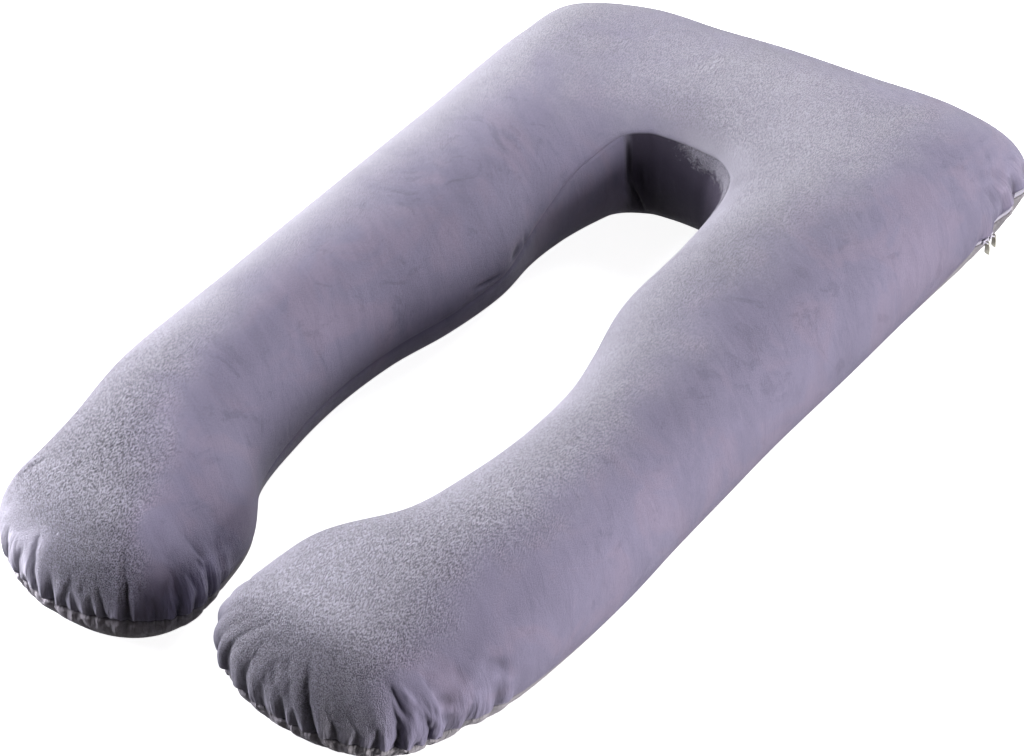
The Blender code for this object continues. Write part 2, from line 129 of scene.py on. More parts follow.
# Gathers, where a panel is eased onto the seam. rise is how far up the cover a gather runs, and
# lean how far along the edge it has moved by then.
GATHERS = (
    # place         along   depth   width  rise   lean
    ("left end",   -0.150, 0.0030, 0.004, 0.060, 0.006),
    ("left end",   -0.112, 0.0060, 0.005, 0.080, -0.004),
    ("left end",   -0.082, 0.0060, 0.004, 0.060, 0.006),
    ("left end",   -0.068, 0.0030, 0.004, 0.080, -0.010),
    ("left end",   -0.040, 0.0045, 0.004, 0.090, -0.016),
    ("left end",   -0.018, 0.0100, 0.005, 0.060, 0.003),
    ("left end",    0.006, 0.0025, 0.004, 0.065, 0.010),
    ("left end",    0.024, 0.0030, 0.004, 0.080, -0.014),
    ("left end",    0.048, 0.0040, 0.004, 0.060, -0.004),
    ("left end",    0.064, 0.0050, 0.004, 0.075, -0.012),
    ("left end",    0.093, 0.0080, 0.004, 0.115, 0.008),
    ("left end",    0.104, 0.0020, 0.003, 0.070, 0.006),
    ("left end",    0.128, 0.0020, 0.004, 0.060, 0.000),
    ("left end",    0.160, 0.0085, 0.005, 0.085, 0.003),
    ("left end",    0.185, 0.0025, 0.005, 0.070, 0.000),
    ("left end",    0.215, 0.0040, 0.006, 0.130, 0.000),
    ("left end",    0.242, 0.0040, 0.004, 0.100, -0.006),
    ("right end",  -0.222, 0.0045, 0.005, 0.080, 0.014),
    ("right end",  -0.186, 0.0045, 0.005, 0.100, 0.030),
    ("right end",  -0.150, 0.0060, 0.006, 0.130, 0.034),
    ("right end",  -0.118, 0.0075, 0.006, 0.125, 0.030),
    ("right end",  -0.096, 0.0060, 0.005, 0.140, 0.036),
    ("right end",  -0.084, 0.0100, 0.006, 0.085, 0.004),
    ("right end",  -0.050, 0.0045, 0.005, 0.110, 0.016),
    ("right end",  -0.020, 0.0030, 0.005, 0.080, 0.010),
    ("right end",   0.014, 0.0080, 0.004, 0.060, 0.004),
    ("right end",   0.034, 0.0025, 0.004, 0.070, 0.000),
    ("right end",   0.060, 0.0090, 0.005, 0.125, -0.018),
    ("right end",   0.088, 0.0035, 0.006, 0.080, 0.002),
    ("right end",   0.116, 0.0025, 0.006, 0.060, -0.002),
    ("right end",   0.140, 0.0035, 0.005, 0.070, 0.004),
    ("right end",   0.167, 0.0110, 0.006, 0.125, -0.002),
    ("right end",   0.192, 0.0035, 0.005, 0.090, 0.006),
    ("right end",   0.211, 0.0090, 0.005, 0.115, -0.020),
    ("right end",   0.236, 0.0040, 0.006, 0.080, 0.004),
    ("right end",   0.265, 0.0045, 0.005, 0.075, -0.016),
    ("right end",   0.306, 0.0070, 0.005, 0.055, 0.000),
    ("right end",   0.335, 0.0025, 0.005, 0.055, 0.000),
    ("zip corner", -0.150, 0.0030, 0.006, 0.050, 0.004),
    ("zip corner", -0.128, 0.0035, 0.005, 0.055, -0.006),
    ("zip corner", -0.116, 0.0030, 0.005, 0.060, 0.002),
    ("zip corner", -0.088, 0.0015, 0.005, 0.040, 0.000),
    ("zip corner", -0.052, 0.0050, 0.006, 0.050, 0.000),
    ("zip corner", -0.016, 0.0035, 0.006, 0.040, 0.000),
)
GATHER_POWER = 1.15            # near 1 is a sharp crease, 2 a round one
GATHER_START = 0.008           # the gathers reach their depth this far from the seam
GATHER_AT_SEAM = 0.25          # and have this share of it at the seam
GATHER_FADE = 1.1
GATHER_CURVE = 1.3             # more than 1 leaves most of the lean to a gather's upper part
GATHER_WIDENS = 0.8            # a gather is wider by this share at its top
GATHER_UNDER = 0.045           # how far down the bottom panel a gather runs
GATHER_SHALLOW = 0.5           # and how much of its depth it keeps there
LOBE_PROUD = 0.45              # the cloth beside a gather stands proud by this share of its depth
LOBE_AWAY, LOBE_WIDE = 2.2, 1.3   # in widths of the gather

# Short creases away from the seam, each from one point to another. A point is given as its
# distance along the edge and its height up the cover. A depth below 0 is a raised fold.
CREASES = (
    # place        from along, up    to along, up     depth   width
    ("left end",  (-0.196, 0.076), (-0.236, 0.120), 0.0060, 0.0045),
    ("right end", (0.172, 0.112), (0.180, 0.055), 0.0070, 0.006),
    ("right end", (0.184, 0.104), (0.212, 0.042), -0.0030, 0.005),
    ("hole",      (-0.099, -0.006), (-0.098, -0.075), 0.0080, 0.0035),
    ("hole",      (-0.098, -0.070), (-0.072, -0.145), 0.0080, 0.0035),
    ("hole",      (-0.080, -0.040), (-0.077, -0.100), 0.0030, 0.0050),
    ("hole",      (-0.106, -0.090), (-0.082, -0.145), -0.0040, 0.0030),
    ("hole",      (-0.434, 0.022), (-0.372, 0.008), 0.0040, 0.0022),
    ("hole",      (-0.352, 0.012), (-0.322, 0.014), 0.0040, 0.0090),
    ("hole",      (-0.312, 0.022), (-0.309, -0.008), 0.0030, 0.0025),
)
CREASE_ENDS = 0.04             # share of its length, at each end, over which it fades no more
CREASE_FADE = 0.7              # less than 1 keeps a crease's depth nearer to its ends
LUMP_WAVES, LUMP_SEED = 14, 7
LUMP_SPREAD = (0.7, 1.8)       # the shortest and the longest wave, in lump sizes
SEAM_POWER = 1.2               # 1 is a sharp valley, 2 a round one

# The bottom panel shows as another cloth all round, but for the left leg's inner side: there it
# ends this far past the left end's middle, and starts again this far from the hole's middle.
PANEL_ENDS, PANEL_ENDS_OVER = 0.40, 0.06
PANEL_STARTS, PANEL_STARTS_OVER = -0.092, 0.015
PANEL_EDGE = 0.0015            # the bottom panel's colour is full this far below the seam
# How far from the seam the painted shade of its groove reaches.
SEAM_SHADE_REACH = 0.0018
PLEAT_RISE = 0.075             # the fine pleats have faded out this far from the seam
WORN_FROM, WORN_OVER = -0.07, 0.10     # where along the hole the pile is rubbed
WORN_DEEP = 0.050              # and how far down its wall
WALL_GAIN = 1.5                # the hole wall's painted shade is full where a section is 1 / this a wall

# Where the pile was brushed, partly painted sheen and shade: above 0 the velvet is painted paler
# and greyer there, below 0 deeper and more purple. reach is how far from the spot it fades.
BRUSHED_AND_SHEEN = (
    # x       y      reach   pale
    (0.100,  0.490, 0.170,  0.14),
    (-0.250, 0.500, 0.120, -0.14),
    (-0.040, 0.400, 0.080, -0.32),
    (0.205,  0.340, 0.110, -0.17),
    (-0.120, 0.460, 0.120,  0.10),
    (-0.210, 0.060, 0.200, -0.24),
    (-0.210, -0.220, 0.130, -0.18),
    (0.200,  0.160, 0.130, -0.20),
    (0.260, -0.090, 0.100, -0.16),
    (-0.125, -0.200, 0.100,  0.16),
    (0.150, -0.600, 0.130,  0.40),
    (0.230, -0.380, 0.110,  0.04),
    (0.070, -0.690, 0.060, -0.25),
    (-0.190, -0.440, 0.080, -0.08),
    (0.170, -0.360, 0.120,  0.18),
    (0.150, -0.130, 0.090,  0.10),
    (-0.190, -0.700, 0.090,  0.40),
    (-0.210, -0.720, 0.060,  0.20),
    (-0.290, -0.660, 0.100,  0.06),
    (0.290,  0.530, 0.120, -0.09),
)
# How strong the fleecy grain is along the pillow, from the leg ends to the head.
FLEECY = (
    # y      right  left
    (-0.74,  1.10,  1.50),
    (-0.60,  1.10,  1.40),
    (-0.45,  1.00,  0.80),
    (-0.30,  0.75,  0.22),
    (-0.10,  0.35,  0.10),
    (0.25,   0.30,  0.12),
    (0.55,   0.45,  0.45),
)
SMOOTH_BELOW, SMOOTH_OVER = 0.015, 0.040   # the grain fades out towards the seam

LIGHT_SIDE = (-0.93, -0.36, 0.0)   # the way towards the light side: facing it the velvet is painted paler and greyer as painted light, facing away it is painted purple as painted shade

# The velvet's patterns. warp is how far a pattern is pushed about.
VELVET_NOISE = {
    # name       scale  detail rough  warp
    "drift":    (3.4,   3.0,   0.60,  0.80),
    "patches":  (8.5,   3.0,   0.60,  1.20),
    "rubbing":  (95.0,  5.0,   0.70,  0.60),
    "strokes":  (1.0,   4.0,   0.62,  1.10),
    "fleece":   (1.0,   1.0,   0.50,  0.25),
    "pile":     (900.0, 2.0,   0.50,  0.00),
    "smudges":  (15.0,  4.0,   0.65,  1.80),
    "pleats":   (1.0,   2.0,   0.50,  0.30),
}
# How the patterns that follow a direction are stretched, and their turn about the vertical.
STROKES_STRETCH, STROKES_TURN = (11.0, 44.0, 16.0), 0.5
FLEECE_STRETCH, FLEECE_TURN = (760.0, 230.0, 760.0), -0.2
PLEATS_ALONG, PLEATS_UP = 105.0, 14.0

# Where each of the velvet's masks is 0 and where it is 1. The away mask marks the side painted
# purple shade, the towards mask the side painted light, and the crest and valley masks a painted
# highlight and painted shade on the folds.
VELVET_EDGES = {
    # name         none    full
    "away":        (-0.28, 0.45),
    "towards":     (0.10,  0.95),
    "grain":       (-0.35, 0.10),
    "past grain":  (0.60,  1.00),
    "rubbing":     (0.36,  0.66),
    "strokes":     (0.36,  0.62),
    "fleece":      (0.36,  0.64),
    "smudges":     (0.56,  0.68),
    "pleats":      (0.30,  0.70),
    "pink":        (0.46,  0.62),
    "crest_highlight":       (0.0,   0.0025),
    "valley":      (0.0,   0.0040),
}
# How far each pattern shifts the velvet between its painted light side and its painted shade side.
BRUSHED_LIGHT_SHIFT, DRIFT_LIGHT_SHIFT, PATCHES_LIGHT_SHIFT = 0.8, 0.7, 0.45
# How much lighter or darker each makes the velvet, as a share. towards is painted light on the side
# facing the light, brushed is partly painted sheen and shade, pleats is painted light and shade on
# the pleats, crest is a painted highlight, and valley and the seam's are painted shade.
VELVET_TONE = {
    "fleece": 0.06,
    "fleece in the grain": 0.90,
    "strokes": 0.07,
    "patches": 0.30,
    "towards": 0.22,
    "brushed": 0.90,
    "smudges": 0.03,
    "smudges away": 0.09,
    "pleats": 0.22,
    "crest_highlight": 0.25,
    "valley": 0.42,
    "stitch": 0.60,
}
# How deep each is in the pile, as a share of PILE_DEEP.
VELVET_RELIEF = {
    "fleece": 0.2,
    "fleece in the grain": 2.6,
    "pile": 0.3,
    "strokes": 0.4,
    "pleats": 4.0,
}
PILE_DEEP, PILE_STRENGTH = 0.0030, 0.9
GRAIN_LEAST, GRAIN_PATCHY = 0.6, 0.8   # the grain's strength, and what the patches add to it
RUB_ROUGH = 1.1                # how ragged the rubbed pile's edge is
RUB_GRAIN, RUB_BARE = 0.6, 0.7         # how much grain it shows, and how much colour it loses
PINK_MOST = 0.5                # how far the patches go towards pink
METAL_DARK = 0.45              # the metal's colour in its dents, as a share of its own

MERGE = 0.00001
TINY = 1e-9                    # keeps a length that divides from being nothing
FLOOR_CLEAR = 0.012            # folds and lumps fade out this close to the floor

# The cover as cloth under the filling's pressure. It is held at the seam, on the bottom and
# over the ridge. Where a panel was eased onto the seam, spare is how much longer its cloth is.
CLOTH_FRAMES = 20
MOST_SPARE = 0.08
CLOTH = (
    # setting                 value
    ("quality",               4),
    ("mass",                  0.05),
    ("tension_stiffness",     18.0),
    ("compression_stiffness", 18.0),
    ("shear_stiffness",       6.0),
    ("bending_stiffness",     0.02),
    ("tension_damping",       6.0),
    ("compression_damping",   6.0),
    ("shear_damping",         6.0),
    ("vertex_group_mass",     "held"),
    ("shrink_min",            -MOST_SPARE),
    ("shrink_max",            0.0),
    ("vertex_group_shrink",   "taut"),
    ("use_pressure",          True),
)
EASED = (
    # place        from    to     spare
    ("left end",   -0.26,  0.27,  0.060),
    ("right end",  -0.27,  0.34,  0.060),
    ("zip corner", -0.17,  0.12,  0.015),
)
EASED_FADE = 0.06
EASED_RISE = 0.11              # how far up the cover the spare cloth reaches
HELD_FROM, HELD_OVER = 0.11, 0.05      # the hold comes back from here up the cover
HELD_UNDER = 0.050             # and this far down the bottom panel
FREE_GAIN = 4                  # the cloth is free where its spare is over 1 / this of the most
MOST_MOVE = 0.018
SMOOTHINGS = 60
CLOTH_NEAR_SEAM = (42, 44, 47, 50, 52)   # rings by the seam that the cloth has

# The zip, in the seam round the right head corner. Places are distances from the corner.
ZIP_START = -0.168
ZIP_END = 0.300
ZIP_FADE = 0.010
ZIP_GAPES = (
    # from   to
    (-0.158, -0.128),
    (-0.110, -0.074),
    (-0.055, -0.026),
    (0.010, 0.040),
    (0.075, 0.105),
    (0.140, 0.165),
    (0.205, 0.235),
)
GAPE_FADE = 0.006
RIPPLE_HALF = 0.5              # the seam swings from in to out along a gape, half each way
RIPPLE_REACH = 0.016
CLOSED_GAP = 0.0004            # half of the gap where the lips are shut
SLOT_DEPTH = 0.0036
LIP_ROLL = 0.0009
LIP_PROUD = 0.0010
LIP_BACK = 3                   # the lip's crest is this many rolls back from its edge
LIP_CREST = 1.6                # and this many times as proud
SEAM_HAIR = 0.00001            # the least distance that keeps the slot's two sides apart
LIP_RINGS = 3                  # rings from the seam to where the cover's own slope is read
TAPE_DEPTH = 0.0020
TAPE_WIDTH = 0.0110
TAPE_THICK = 0.0010
COIL_PITCH = 0.0016
COIL_THICK = 0.0015
COIL_HALF = 0.0026
COIL_BAR = 0.0012
COIL_LEAN = 12.0
COIL_OFFSET = 0.42             # a turn's middle is this share of its width off the centre line
COIL_ROUND = 0.62

SLIDER_LENGTH = 0.0105
SLIDER_WIDTH = 0.0085
SLIDER_NOSE = 0.0060           # its width at the front
SLIDER_PLATE = 0.0020
SLIDER_BEVEL = 0.35            # share of the plate's thickness
SLIDER_GAP = 0.0002
BRIDGE_SPAN = 0.0062
BRIDGE_THICK = 0.0015
BRIDGE_FLAT = 1.2              # the bridge is stretched this much across
BRIDGE_TALL = 1.35             # and upwards
SLIDERS = (
    # name   place among the cuts, turn of its pull about the vertical
    ("lower", 9.85, 0.0),
    ("upper", 9.95, -40.0),
)
PULL_OUTLINE = (
    # down    half width
    (0.0000, 0.0016),
    (0.0006, 0.0026),
    (0.0020, 0.0032),
    (0.0062, 0.0032),
    (0.0080, 0.0043),
    (0.0200, 0.0045),
    (0.0214, 0.0040),
    (0.0220, 0.0028),
)
PULL_THICK = 0.0014
PULL_BEVEL = 0.28              # share of its thickness
PULL_SHARP = 0.6               # edges that turn by more than this are bevelled, in radians
EYE_DOWN = 0.0036
EYE_WIDTH = 0.0038
EYE_LENGTH = 0.0046
EYE_HANGS = 0.25               # the pull hangs this share of its eye's length below the bar

# The stage. The camera and the lights face LOOK_AT, and the lights are LIGHT_AWAY from it.
LOOK_AT = (0.0444, -0.0896, 0.1000)
CAMERA_TURN = 36.61            # degrees round from straight in front of the leg ends
CAMERA_RISE = 41.60
CAMERA_AWAY = 4.929
CAMERA_LENS = 132.6
CAMERA_SIGHT = 50.0            # past this it sees nothing
ROOM_COLOUR = (1.0, 0.90, 1.0, 1.0)
FLOOR_PALE, FLOOR_PALER = (0.86, 0.86, 0.87), (0.88, 0.88, 0.885)
FLOOR_SIZE = 40.0
FLOOR_GAP = 0.0005
LIGHT_AWAY = 3.2
LIGHTS = (
    # name    round  up    size  colour, with round and up in degrees from +X and the floor
    ("left",  184.0, 13.0, 1.5, (1.00, 0.99, 0.99)),
    ("front", 214.0, 28.0, 2.0, (0.91, 0.89, 1.00)),
    ("back",   90.0, 34.0, 2.0, (1.00, 1.00, 1.00)),
    ("right",   3.0, 10.0, 1.0, (1.00, 0.97, 1.00)),
)


# ---------------------------------------------------------------- settings

class BodyPillowShape(bpy.types.PropertyGroup):
    """The pillow's sizes"""
    column_step: FloatProperty(
        name="Column step", description="Spacing of the cover's points along the edge",
        default=0.0068, min=0.004, max=0.05, unit="LENGTH")
    end_columns: IntProperty(
        name="Leg end columns", description="Columns of points round each leg end",
        default=240, min=40, max=400)
    seam_depth: FloatProperty(
        name="Seam depth", description="How far the stitching draws the cover in",
        default=0.0030, min=0.0, max=0.02, unit="LENGTH")
    seam_width: FloatProperty(
        name="Seam width", description="How far from the seam the cover has rounded out again",
        default=0.0032, min=0.001, max=0.02, unit="LENGTH")
    gather_scale: FloatProperty(
        name="Gathers", description="Depth of the gathers, as a share of their own",
        default=1.0, min=0.0, max=2.0, subtype="FACTOR")
    pressure: FloatProperty(
        name="Pressure", description="How hard the filling presses out on the cloth",
        default=4.0, min=0.0, max=50.0)
    zip_gap: FloatProperty(
        name="Zip gap", description="How far the seam's lips stand apart where the zip shows",
        default=0.0105, min=0.0, max=0.03, unit="LENGTH")
    zip_ripple: FloatProperty(
        name="Zip ripple", description="How far the seam along the zip waves in and out",
        default=0.012, min=0.0, max=0.03, unit="LENGTH")
    lump_height: FloatProperty(
        name="Lumps", description="How uneven the filling leaves the cover",
        default=0.0010, min=0.0, max=0.01, unit="LENGTH")
    lump_size: FloatProperty(
        name="Lump size", description="Distance from one lump of the filling to the next",
        default=0.20, min=0.02, max=0.5, unit="LENGTH")


class BodyPillowColours(bpy.types.PropertyGroup):
    """The colours of its cloth, with the cloth's painted light and shade, its zip and its metal"""
    # Velvet on the side facing the light: painted light, paler and greyer.
    velvet: FloatVectorProperty(
        name="Velvet", description="Velvet where its pile lies towards the light side",
        default=(0.310, 0.302, 0.352), subtype="COLOR", size=3, min=0.0, max=1.0)
    # Purple velvet on the side turned from the light: painted shade.
    velvet_shade_side: FloatVectorProperty(
        name="Purple velvet", description="Velvet where its pile lies away from the light side",
        default=(0.262, 0.244, 0.340), subtype="COLOR", size=3, min=0.0, max=1.0)
    # Pinker patches, laid only over the painted shade side.
    velvet_pink: FloatVectorProperty(
        name="Pink velvet", description="Patches of the purple side that look pinker",
        default=(0.290, 0.245, 0.325), subtype="COLOR", size=3, min=0.0, max=1.0)
    # Bottom panel: partly its own greyer pile, partly painted light bounced up from the floor.
    velvet_under_and_bounce: FloatVectorProperty(
        name="Bottom panel", description="The bottom panel's velvet",
        default=(0.400, 0.380, 0.400), subtype="COLOR", size=3, min=0.0, max=1.0)
    # The bottom panel at the hole's closed end: painted shade.
    velvet_wall_shade: FloatVectorProperty(
        name="Hole wall", description="The bottom panel's velvet where it walls the closed end",
        default=(0.052, 0.045, 0.066), subtype="COLOR", size=3, min=0.0, max=1.0)
    tape: FloatVectorProperty(
        name="Zip tape", description="The zip's woven tape",
        default=(0.80, 0.78, 0.86), subtype="COLOR", size=3, min=0.0, max=1.0)
    coil: FloatVectorProperty(
        name="Zip coil", description="The zip's plastic coil",
        default=(0.74, 0.71, 0.82), subtype="COLOR", size=3, min=0.0, max=1.0)
    metal: FloatVectorProperty(
        name="Zip metal", description="The sliders and their pulls",
        default=(0.42, 0.41, 0.35), subtype="COLOR", size=3, min=0.0, max=1.0)


class BodyPillowStage(bpy.types.PropertyGroup):
    """The light round it"""
    left: FloatProperty(
        name="Left light", description="Power of the low light on the left, the strongest",
        default=195.0, min=0.0, unit="POWER")
    front: FloatProperty(
        name="Front light", description="Power of the light before the left leg end",
        default=90.0, min=0.0, unit="POWER")
    back: FloatProperty(
        name="Back light", description="Power of the light behind the head bar",
        default=84.0, min=0.0, unit="POWER")
    right: FloatProperty(
        name="Right light", description="Power of the low light on the right",
        default=100.0, min=0.0, unit="POWER")
    room: FloatProperty(
        name="Room light", description="Strength of the light that comes from all round",
        default=0.04, min=0.0, max=5.0)
    floor_glow: FloatProperty(
        name="Floor glow", description="How far the floor's own light hides the shadows on it",
        default=0.92, min=0.0, max=2.0)


# ---------------------------------------------------------------- small helpers

def clipped(values):
    """Values held between 0 and 1."""
    return np.clip(values, 0.0, 1.0)


def ramp(values, start, over):
    """0 up to start, 1 from start + over on, and straight in between."""
    return clipped((values - start) / over)


def unit(vector):
    """The vector's direction."""
    return vector / np.linalg.norm(vector)


def normalised(vectors):
    """The direction of each vector."""
    return vectors / np.maximum(np.linalg.norm(vectors, axis=-1, keepdims=True), TINY)


def smooth_between(a, b, c, d, t):
    """The point at t, 0 to 1, from b to c on the smooth curve through all four."""
    return b + 0.5 * t * (c - a + t * (2 * a - 5 * b + 4 * c - d + t * (3 * b - a - 3 * c + d)))


def run_along(line):
    """Each point's distance from the first one along the line."""
    return np.concatenate([[0.0], np.cumsum(np.linalg.norm(np.diff(line, axis=0), axis=1))])


def axes_at(spot, first, second, third):
    """The matrix whose X, Y and Z are the three given directions, at a spot."""
    axes = Matrix((first, second, third)).transposed().to_4x4()
    axes.translation = spot
    return axes


# ---------------------------------------------------------------- the plan of the pillow

def half_cuts(side):
    """The cuts of one half as rows: outer x, y, inner x, y, crown, seams out and in, wall."""
    rows = []
    for _, out_r, out_l, out_y, in_r, in_l, in_y, *section in CUTS:
        out_x, in_x = (out_r, in_r) if side == "right" else (-out_l, -in_l)
        rows.append((out_x, skewed(out_x, out_y), in_x, skewed(in_x, in_y), *section))
    return rows


def skewed(x, y):
    """The y of a point once the head bar is skewed."""
    return y + HEAD_SKEW * ramp(y, HEAD_SKEW_FROM, HEAD_SKEW_OVER) * x / HALF_WIDTH


def all_cuts(step):
    """Every column across the pillow, from the right leg end to the left one, read from a smooth
    curve through the cuts. Each row starts with its place among the cuts."""
    rows = np.array(half_cuts("right") + half_cuts("left")[-2::-1])
    ends = np.vstack([2 * rows[0] - rows[1], rows, 2 * rows[-1] - rows[-2]])
    result = []
    for k in range(len(rows) - 1):
        four = ends[k:k + 4]
        count = max(round(np.linalg.norm(four[2, :2] - four[1, :2]) / step), FEWEST_COLUMNS)
        for t in np.arange(count) / count:
            result.append([k + t, *smooth_between(*four, t)])
    result.append([len(rows) - 1, *rows[-1]])
    return np.array(result)


def leg_end(start, finish, ridge, heading, reach, count):
    """Points of the round end of a leg, from one side's edge to the other's."""
    angle = np.pi * np.arange(1, count) / count
    across = np.abs(np.cos(angle)) ** (2 / LEG_END_ROUND)
    forward = np.sin(angle) ** (2 / LEG_END_ROUND)
    side = np.where(np.cos(angle)[:, None] > 0, start - ridge, finish - ridge)
    return ridge + side * across[:, None] + heading * reach * forward[:, None]


class Outline:
    """The pillow's edge as columns: the edge point, the ridge point inside it, and its section.

    Columns run up the right outer edge, round the head, down the left outer edge, round the
    left leg end, back along the inner edge, and round the right leg end.
    """

    def __init__(self, step, end_columns):
        cuts = all_cuts(step)
        self.cut_place, cuts = cuts[:, 0], cuts[:, 1:]
        outer, inner = cuts[:, 0:2], cuts[:, 2:4]
        ridge = (outer + inner) / 2
        last = len(cuts) - 1
        parts = []

        def add(edge, top, crown, seam, wall):
            ones = np.ones(len(edge))
            parts.append(np.column_stack([edge, top * np.ones((len(edge), 2)),
                                          crown * ones, seam * ones, wall * ones]))

        def add_leg_end(start, finish, at, before, reach):
            heading = unit(ridge[at] - ridge[before])
            points = leg_end(start, finish, ridge[at], heading, reach, end_columns)
            add(points, ridge[at], crown[at], LEG_END_SEAM, 0.0)

        crown, seam_out, seam_in, wall = cuts[:, 4:].T
        add(outer, ridge, crown, seam_out, 0.0)
        add_leg_end(outer[last], inner[last], last, last - 1, LEG_REACH["left"])
        add(inner[::-1], ridge[::-1], crown[::-1], seam_in[::-1], clipped(wall[::-1]))
        add_leg_end(inner[0], outer[0], 0, 1, LEG_REACH["right"])

        columns = np.vstack(parts)
        self.edge, self.ridge = columns[:, 0:2], columns[:, 2:4]
        self.crown, self.seam, self.wall = columns[:, 4], np.radians(columns[:, 5]), columns[:, 6]
        self.half = np.linalg.norm(self.ridge - self.edge, axis=1)
        self.inward = (self.ridge - self.edge) / self.half[:, None]
        self.count = len(self.edge)
        self.middles = {
            "left end": last + end_columns / 2,
            "right end": self.count - end_columns / 2,
            "zip corner": self.column_at(ZIP_CORNER),
            "hole": last + end_columns + last / 2,
        }
        step = np.linalg.norm(np.roll(self.edge, -1, axis=0) - self.edge, axis=1)
        self.length = np.concatenate([[0.0], np.cumsum(step)])
        for place, along, over, degrees in SEAM_SHIFTS:
            away = (self.distance_from(place) - along) / over
            self.seam += math.radians(degrees) * np.exp(-away ** 2)

    def column_at(self, cut_place):
        """The outer edge's column at a place among the cuts."""
        return np.interp(cut_place, self.cut_place, np.arange(len(self.cut_place)))

    def distance_from(self, place):
        """Each column's distance along the edge from a place, negative before it."""
        whole = self.length[-1]
        middle = np.interp(self.middles[place], np.arange(self.count + 1), self.length)
        away = self.length[:-1] - middle
        return (away + whole / 2) % whole - whole / 2


# ---------------------------------------------------------------- the section

def plain_section(outline, t):
    """A round section that curves in to the floor: share of the way to the ridge, and height."""
    towards = math.pi / 2 * np.sign(t)
    angle = outline.seam + abs(t) * (towards - outline.seam)
    rise = clipped(np.sin(angle))
    drop = clipped(-np.sin(angle))
    turn = clipped(np.cos(angle))
    crown_height = (outline.crown - WIDEST_LEVEL) * rise ** (2 / CROWN_ROUND)
    above = angle >= 0
    share = np.where(above, 1 - turn ** (2 / CROWN_ROUND), FLOOR_INSET * (1 - turn))
    height = np.where(above, WIDEST_LEVEL + crown_height, WIDEST_LEVEL * (1 - drop))
    return share, height


def wall_section(outline, t):
    """The creased side at the closed end of the U: a bulging wall under a sloping top."""
    if t >= 0:
        share = t ** WALL_TOP_INWARDS
        rise = 1 - (1 - share) ** WALL_TOP_ROUND
        return share, WALL_SEAM_LEVEL + (outline.crown - WALL_SEAM_LEVEL) * rise
    bulge = WALL_BULGE * math.sin(math.pi * min(-t / WALL_BULGE_DOWN, 1.0))
    foot = WALL_FOOT * ramp(-t, WALL_FOOT_FROM, WALL_FOOT_OVER) ** 2
    return (foot - bulge) / outline.half, WALL_SEAM_LEVEL * (1 + t) ** WALL_DROP


def section(outline, t):
    """Inward distance and height of each column at t: 1 on the ridge, 0 on the seam, -1 where
    the cover meets the floor."""
    share, height = plain_section(outline, t)
    wall_share, wall_height = wall_section(outline, t)
    share = share + (wall_share - share) * outline.wall
    height = height + (wall_height - height) * outline.wall
    return np.column_stack([share * outline.half, height])


class Cover:
    """The smooth cover as a grid of rings by columns, from the ridge down to the floor edge.

    up is each point's distance above the seam along the cover, negative on the bottom panel, and
    shrink how much closer the columns stand there than at the edge.
    """

    def __init__(self, outline):
        self.outline = outline
        upper = self.read_half(outline, 1, ABOVE_RINGS)
        lower = self.read_half(outline, -1, BELOW_RINGS)
        seam = np.column_stack([section(outline, 0.0), np.zeros(outline.count)])[None]
        profile = np.concatenate([upper[::-1], seam, lower])
        self.up = profile[:, :, 2]
        plan = outline.edge + outline.inward * profile[:, :, :1]
        self.points = np.concatenate([plan, profile[:, :, 1:2]], axis=2)
        self.normals = self.find_normals()
        step = np.linalg.norm(np.roll(plan, -1, axis=1) - np.roll(plan, 1, axis=1), axis=2)
        edge_step = np.maximum(step[len(upper)], TINY)
        self.shrink = np.clip(step / edge_step, LEAST_SHRINK, MOST_SHRINK)

    @staticmethod
    def read_half(outline, sign, count):
        """Rings of one panel, from the seam outwards: inward distance, height, distance up."""
        ts = sign * np.linspace(0.0, 1.0, SECTION_STEPS) ** SECTION_EASE
        line = np.stack([section(outline, t) for t in ts])
        hop = np.linalg.norm(np.diff(line, axis=0), axis=2)
        run = np.concatenate([np.zeros((1, outline.count)), np.cumsum(hop, axis=0)])
        shares = (np.arange(1, count + 1) / count) ** RING_EASE
        near = np.array(NEAR_SEAM)
        rings = np.empty((len(near) + count, outline.count, 3))
        for k in range(outline.count):
            at = np.concatenate([near, near[-1] + shares * (run[-1, k] - near[-1])])
            rings[:, k, 0] = np.interp(at, run[:, k], line[:, k, 0])
            rings[:, k, 1] = np.interp(at, run[:, k], line[:, k, 1])
            rings[:, k, 2] = sign * at
        return rings

    def find_normals(self):
        """Outward normals of the smooth cover."""
        down = np.gradient(self.points, axis=0)
        along = np.roll(self.points, -1, axis=1) - np.roll(self.points, 1, axis=1)
        normals = normalised(np.cross(along, down))
        normals[0] = (0, 0, 1)
        outwards = np.einsum("rcx,rcx->rc", normals, self.points - self.core())
        return normals * np.where(outwards < 0, -1, 1)[:, :, None]

    def core(self):
        """A point inside the filling for each column."""
        middle = np.column_stack([self.outline.ridge, np.full(self.outline.count, WIDEST_LEVEL)])
        return middle[None]


def gather_depth(cover, scale):
    """How far the gathers draw the cover in."""
    depth = np.zeros(cover.up.shape)
    above = cover.up >= 0
    height = abs(cover.up)
    start = GATHER_AT_SEAM + (1 - GATHER_AT_SEAM) * clipped(height / GATHER_START)
    for place, along, deep, width, rise, lean in GATHERS:
        share = clipped(height / np.where(above, rise, GATHER_UNDER))
        fade = (1 - share) ** GATHER_FADE * start * np.where(above, 1.0, GATHER_SHALLOW)
        leaning = lean * share ** GATHER_CURVE * np.where(above, 1.0, -1.0)
        away = cover.outline.distance_from(place) - along
        across = abs(away - leaning) / (width * (1 + GATHER_WIDENS * share))
        valley = np.exp(-across ** GATHER_POWER)
        lobes = np.exp(-((across - LOBE_AWAY) / LOBE_WIDE) ** 2)
        depth += scale * deep * fade * (valley - LOBE_PROUD * lobes)
    return depth


